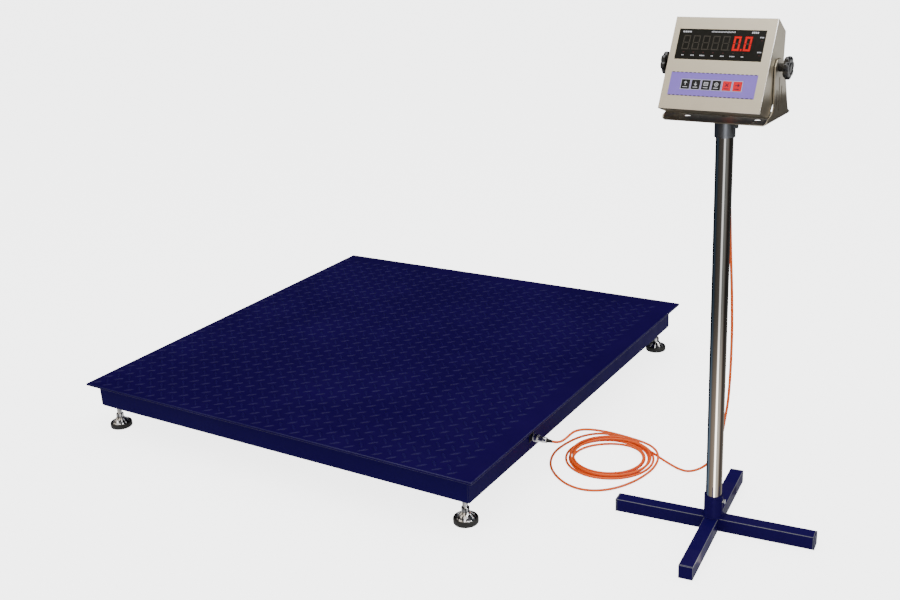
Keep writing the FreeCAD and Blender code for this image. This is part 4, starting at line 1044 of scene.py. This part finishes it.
def key_marks(number):
    """A plain pictogram and a short rule under it for each key."""
    x = KEY_FIRST + number * KEY_PITCH
    z = KEY_Z + 1.6
    pictures = (
        arrow(x, z, (0, 1), 3.4),
        arrow(x, z, (0, -1), 3.4),
        frame_strokes(x, z, 7, 5.4, KEY_LINE) + [bar(x, z, 3.4, 1.2)],
        ring_strokes(x, z, 3.2, KEY_LINE) + [bar(x, z, 2.2, 2.2)],
        [stroke((x - 3.2, z - 3), (x + 3.2, z + 3), KEY_LINE),
         stroke((x - 3.2, z + 3), (x + 3.2, z - 3), KEY_LINE)],
        arrow(x, z, (1, 0), 3.6),
    )
    return pictures[number] + [bar(x, KEY_Z - 5.4, 9, 1.2)]


def keypad():
    """Lavender sheet with a dashed border line above and below, and six outlined keys."""
    paint("keypad_overlay", lavender)
    outlines = []
    for number in range(KEYS):
        key = "key_%d" % (number + 1)
        red = number >= FIRST_RED_KEY
        paint(key, key_red if red else key_black)
        face_piece(key + "_mark", key_marks(number), KEY_Y, dark_print if red else white_print,
                   key + "_body")
        outlines += frame_strokes(KEY_FIRST + number * KEY_PITCH, KEY_Z, KEY_WIDTH + 2 * KEY_FRAME,
                                  KEY_HEIGHT + 2 * KEY_FRAME, KEY_FRAME)
    face_piece("key_outlines", outlines, KEYPAD_Y, white_print)
    dashes = [bar(DASH_FIRST + step * DASH_PITCH, z, 4.6, 1.3) for z in DASH_ROWS for step in range(DASHES)]
    face_piece("keypad_dashes", dashes, KEYPAD_Y, dark_print)


KNOB_ARM = 102.3
KNOB_LOBES = 7
LOBE_DEPTH = 3.4
HUB_RADIUS = 9
LOBES_SPREAD = 12.5
STUD_LENGTH = 11.3


def knob_mesh(name, sign):
    """Hub and lobed grip with rounded edges, on its stud."""
    outwards = Matrix.Rotation(math.radians(90 * sign), 4, "Y")
    place = HEAD @ outwards @ Matrix.Translation((0, 0, KNOB_ARM * MM))
    profile = [(0.5, 0), (6.9, 0), (7.5, 0.6), (7.5, 9.6), (8.2, 10.6), (14, 11), (19.4, 11.2), (20.8, 12.2),
               (21.4, 14), (21.5, 16.5), (21.2, 18.6), (20.2, 20), (18.6, 20.8), (14.5, 21), (10.5, 20.7),
               (9.6, 20.2), (8.8, 20.6), (0.5, 21)]

    def lobes(angle, radius, height):
        if radius < HUB_RADIUS:
            return radius
        scallop = (0.5 + 0.5 * math.cos(KNOB_LOBES * angle)) ** 2.2
        return radius - LOBE_DEPTH * scallop * (radius - HUB_RADIUS) / LOBES_SPREAD

    grip = lathe(name, profile, place, 140, lobes)
    stud_profile = [(0.5, -STUD_LENGTH), (3.5, -STUD_LENGTH), (4, 0.5 - STUD_LENGTH), (4, 0), (0.5, 0)]
    stud = lathe(name + "_stud", stud_profile, place, 32)
    return joined_mesh(name, [grip, stud])


def knobs():
    for side, sign in (("left", -1), ("right", 1)):
        name = "knob_%s_piece" % side
        new_piece(name, knob_mesh(name, sign), knob_black, side + "_knob",
                  ("knob_" + side,), angle=40)
    paint("friction_washers", black_rubber)


def housing():
    # the strips round the bends take the painted bend highlight
    bent_sheet("housing_shell", stainless, stainless_bend_highlight)
    bent_sheet("back_cover", stainless, stainless_bend_highlight)
    for node in ("cable_gland", "power_gland"):
        paint(node, gland_black)
    paint("cover_screws", zinc)


housing()
display()
keypad()
knobs()


# ---- floor, light and what the gloss mirrors

# the studio's own sizes are in metres
COLUMN_VIEW = CAMERA_PLACE - STAND.to_translation()
VIEW_TURN = math.atan2(COLUMN_VIEW.y, COLUMN_VIEW.x)
FLOOR_HALF = 40
FLOOR_GLOW = 3.6
BACKDROP_RADIUS = 60
BACKDROP_GLOW = 4.34
ROOM_RADIUS = 15
ROOM_FRONT = (0.91, 0.81, 0.67)
ROOM_BACK = (0.04, 0.045, 0.06)
ROOM_TOP = (2.2, 2.2, 2.2)
ROOM_FLOOR = (0.88, 0.88, 0.88)
# what the column mirrors from left to right: share of its width, colour
COLUMN_BANDS = (
    (0.00, (0.006, 0.007, 0.01)), (0.07, (0.006, 0.008, 0.012)), (0.12, (0.03, 0.05, 0.08)),
    (0.19, (0.03, 0.035, 0.04)), (0.24, (0.055, 0.047, 0.04)), (0.40, (0.075, 0.066, 0.058)),
    (0.46, (0.11, 0.105, 0.1)), (0.50, (1.25, 1.25, 1.25)), (0.56, (1.25, 1.25, 1.25)),
    (0.59, (0.12, 0.12, 0.115)), (0.66, (0.2, 0.2, 0.19)), (0.74, (0.11, 0.1, 0.09)),
    (0.79, (0.02, 0.016, 0.014)), (0.90, (0.02, 0.02, 0.02)), (0.96, (0.07, 0.068, 0.065)),
    (1.00, (0.07, 0.068, 0.065)),
)
BANDS_RADIUS = 0.15
BANDS_LOW, BANDS_HIGH = 0.001, 0.93
BANDS_SIDES = 72
BANDS_FOOT = (4.6, 4.2, 3.8)
SQUARE = ((-1, -1), (1, -1), (1, 1), (-1, 1))
CARD_AIM = Vector((0.897, -0.136, 0.418)).normalized()
CARD_DISTANCE = 3.0
CARD_SIDE = 1.6
CARD_GLOW = 9.0
LIGHT_PLACE = Vector((0.3, -0.6, 4.2))
LIGHT_SIZE = 3.5
LIGHT_POWER = 95
SKY_COLOUR = (0.97, 0.985, 1.0)
SKY_STRENGTH = 0.95


def stage_piece(name, mesh, material, *rays):
    """A piece of the studio, seen only by the kinds of ray it is there for."""
    piece = bpy.data.objects.new(name, mesh)
    bpy.context.scene.collection.objects.link(piece)
    mesh.materials.append(material)
    for ray in ("camera", "diffuse", "glossy", "transmission", "volume_scatter", "shadow"):
        setattr(piece, "visible_" + ray, ray in rays)
    return piece


def quad_mesh(name, corners):
    mesh = bpy.data.meshes.new(name)
    mesh.from_pydata(corners, [], [(0, 1, 2, 3)])
    return mesh


def sheet_mesh(name, half, height):
    return quad_mesh(name, [(x * half, y * half, height) for x, y in SQUARE])


def ball_mesh(name, radius):
    ball = bpy.data.meshes.new(name)
    work = bmesh.new()
    bmesh.ops.create_uvsphere(work, u_segments=48, v_segments=24, radius=radius)
    work.to_mesh(ball)
    work.free()
    return ball


class Glow(Shading):
    """A material that only glows."""

    def __init__(self, name, strength=1.0):
        super().__init__(name)
        self.tree.nodes.clear()
        self.output = self.node("OutputMaterial")
        self.glow = self.node("Emission", Strength=strength)
        self.link(self.glow.outputs["Emission"], self.output.inputs["Surface"])

    def split(self, vector):
        """The X, Y and Z of a vector."""
        parts = self.node("SeparateXYZ")
        self.link(vector, parts.inputs["Vector"])
        return [parts.outputs[axis] for axis in "XYZ"]

    def ramp(self, source, low, high, first, last):
        """first..last as a value runs from low to high, smoothly."""
        share = self.node("MapRange", From_Min=low, From_Max=high)
        share.interpolation_type = "SMOOTHSTEP"
        self.link(source, share.inputs["Value"])
        return self.mix(share.outputs["Result"], first, last)


def white_floor():
    """A pale floor that takes the shadows, and over it a faint glow of its own as a light table has."""
    stage_piece("floor", sheet_mesh("floor", FLOOR_HALF, -0.0004),
                Finish("floor_pale", (0.8, 0.8, 0.8), 0.9, Specular_IOR_Level=0.05).material,
                "camera", "diffuse", "shadow")
    light = Glow("floor_glow", FLOOR_GLOW)
    both = light.node("AddShader")
    light.link(light.glow.outputs["Emission"], both.inputs[0])
    light.link(light.node("BsdfTransparent").outputs["BSDF"], both.inputs[1])
    light.link(both.outputs["Shader"], light.output.inputs["Surface"])
    stage_piece("floor_glow", sheet_mesh("floor_glow", FLOOR_HALF, -0.0002), light.material, "camera")


def backdrop():
    """Beyond the floor's edge a low camera sees the floor's own white."""
    stage_piece("backdrop", ball_mesh("backdrop", BACKDROP_RADIUS),
                Glow("backdrop", BACKDROP_GLOW).material, "camera")


def mirrored_room():
    """What glossy surfaces see: a dim wall behind the object, a lit one before it and a bright ceiling."""
    room = Glow("room")
    turned = room.node("Mapping", Rotation=(0, 0, -VIEW_TURN), Scale=[1 / ROOM_RADIUS] * 3)
    room.link(room.node("TexCoord").outputs["Object"], turned.inputs["Vector"])
    ahead, across, up = room.split(turned.outputs["Vector"])
    walls = room.ramp(ahead, -0.35, 0.25, ROOM_BACK, ROOM_FRONT)
    room.link(room.ramp(up, 0.72, 0.92, walls, ROOM_TOP), room.glow.inputs["Color"])
    stage_piece("room", ball_mesh("room", ROOM_RADIUS), room.material, "glossy")
    ground = Glow("room_floor")
    ground.glow.inputs["Color"].default_value = (*ROOM_FLOOR, 1)
    stage_piece("room_floor", sheet_mesh("room_floor", ROOM_RADIUS - 1, -0.0003), ground.material,
                "glossy")


def band_colours(bands, angle):
    """The bands as a colour ramp over the angle about the column's axis."""
    ramp = bands.node("ValToRGB")
    bands.link(bands.spread(angle, -math.pi, math.pi), ramp.inputs["Fac"])
    column_radius = (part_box("column")[1].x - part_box("column")[0].x) / 2
    elements = ramp.color_ramp.elements
    for index, (share, colour) in enumerate(COLUMN_BANDS):
        # a ray met at this share of the width leaves at twice the surface's own angle, and lands a little
        # short of that
        lean = math.asin(2 * share - 1)
        turn = 2 * lean - math.asin(column_radius / BANDS_RADIUS * math.sin(lean))
        position = 0.5 + turn / (2 * math.pi)
        element = elements[index] if index < 2 else elements.new(position)
        element.position = position
        element.color = (*colour, 1)
    return ramp.outputs["Color"]


def column_bands():
    """Tall cards stand around the column, seen by no camera, for its plating to mirror."""
    bands = Glow("column_bands")
    x, y, z = bands.split(bands.node("TexCoord").outputs["Object"])
    about = bands.node("Math")
    about.operation = "ARCTAN2"
    bands.link(y, about.inputs[0])
    bands.link(x, about.inputs[1])
    near_floor = bands.ramp(z, 0.12, 0.5, BANDS_FOOT, (1, 1, 1))
    colour = bands.mix(1.0, band_colours(bands, about.outputs["Value"]), near_floor, "MULTIPLY")
    bands.link(colour, bands.glow.inputs["Color"])
    ring = circle(BANDS_RADIUS, BANDS_SIDES)
    faces = []
    for side in range(BANDS_SIDES):
        after = (side + 1) % BANDS_SIDES
        faces.append((side, after, BANDS_SIDES + after, BANDS_SIDES + side))
    wall = bpy.data.meshes.new("column_bands")
    wall.from_pydata([(x, y, z) for z in (BANDS_LOW, BANDS_HIGH) for x, y in ring], [], faces)
    piece = stage_piece("column_bands", wall, bands.material, "glossy")
    piece.location = STAND.to_translation()
    piece.rotation_euler = (0, 0, VIEW_TURN)


def bend_card():
    """A small bright card off to the right, which the bend between the housing's face and side mirrors."""
    across = CARD_AIM.orthogonal().normalized() * CARD_SIDE / 2
    along = CARD_AIM.cross(across)
    corners = [pivot + CARD_AIM * CARD_DISTANCE + across * x + along * y for x, y in SQUARE]
    stage_piece("bend_card", quad_mesh("bend_card", corners), Glow("bend_card", CARD_GLOW).material,
                "glossy")


def soft_light():
    """One square area light overhead, aimed at the middle of the floor."""
    data = bpy.data.lights.new("overhead", "AREA")
    data.shape = "SQUARE"
    data.size = LIGHT_SIZE
    data.energy = LIGHT_POWER
    light = bpy.data.objects.new("overhead", data)
    light.location = LIGHT_PLACE
    light.rotation_euler = (-LIGHT_PLACE).to_track_quat("-Z", "Y").to_euler()
    bpy.context.scene.collection.objects.link(light)


def studio():
    world = bpy.data.worlds.new("studio")
    world.use_nodes = True
    bpy.context.scene.world = world
    sky = world.node_tree.nodes["Background"].inputs
    sky["Color"].default_value = (*SKY_COLOUR, 1)
    sky["Strength"].default_value = SKY_STRENGTH
    world.cycles_visibility.glossy = False
    soft_light()
    white_floor()
    backdrop()
    mirrored_room()
    column_bands()
    bend_card()


studio()
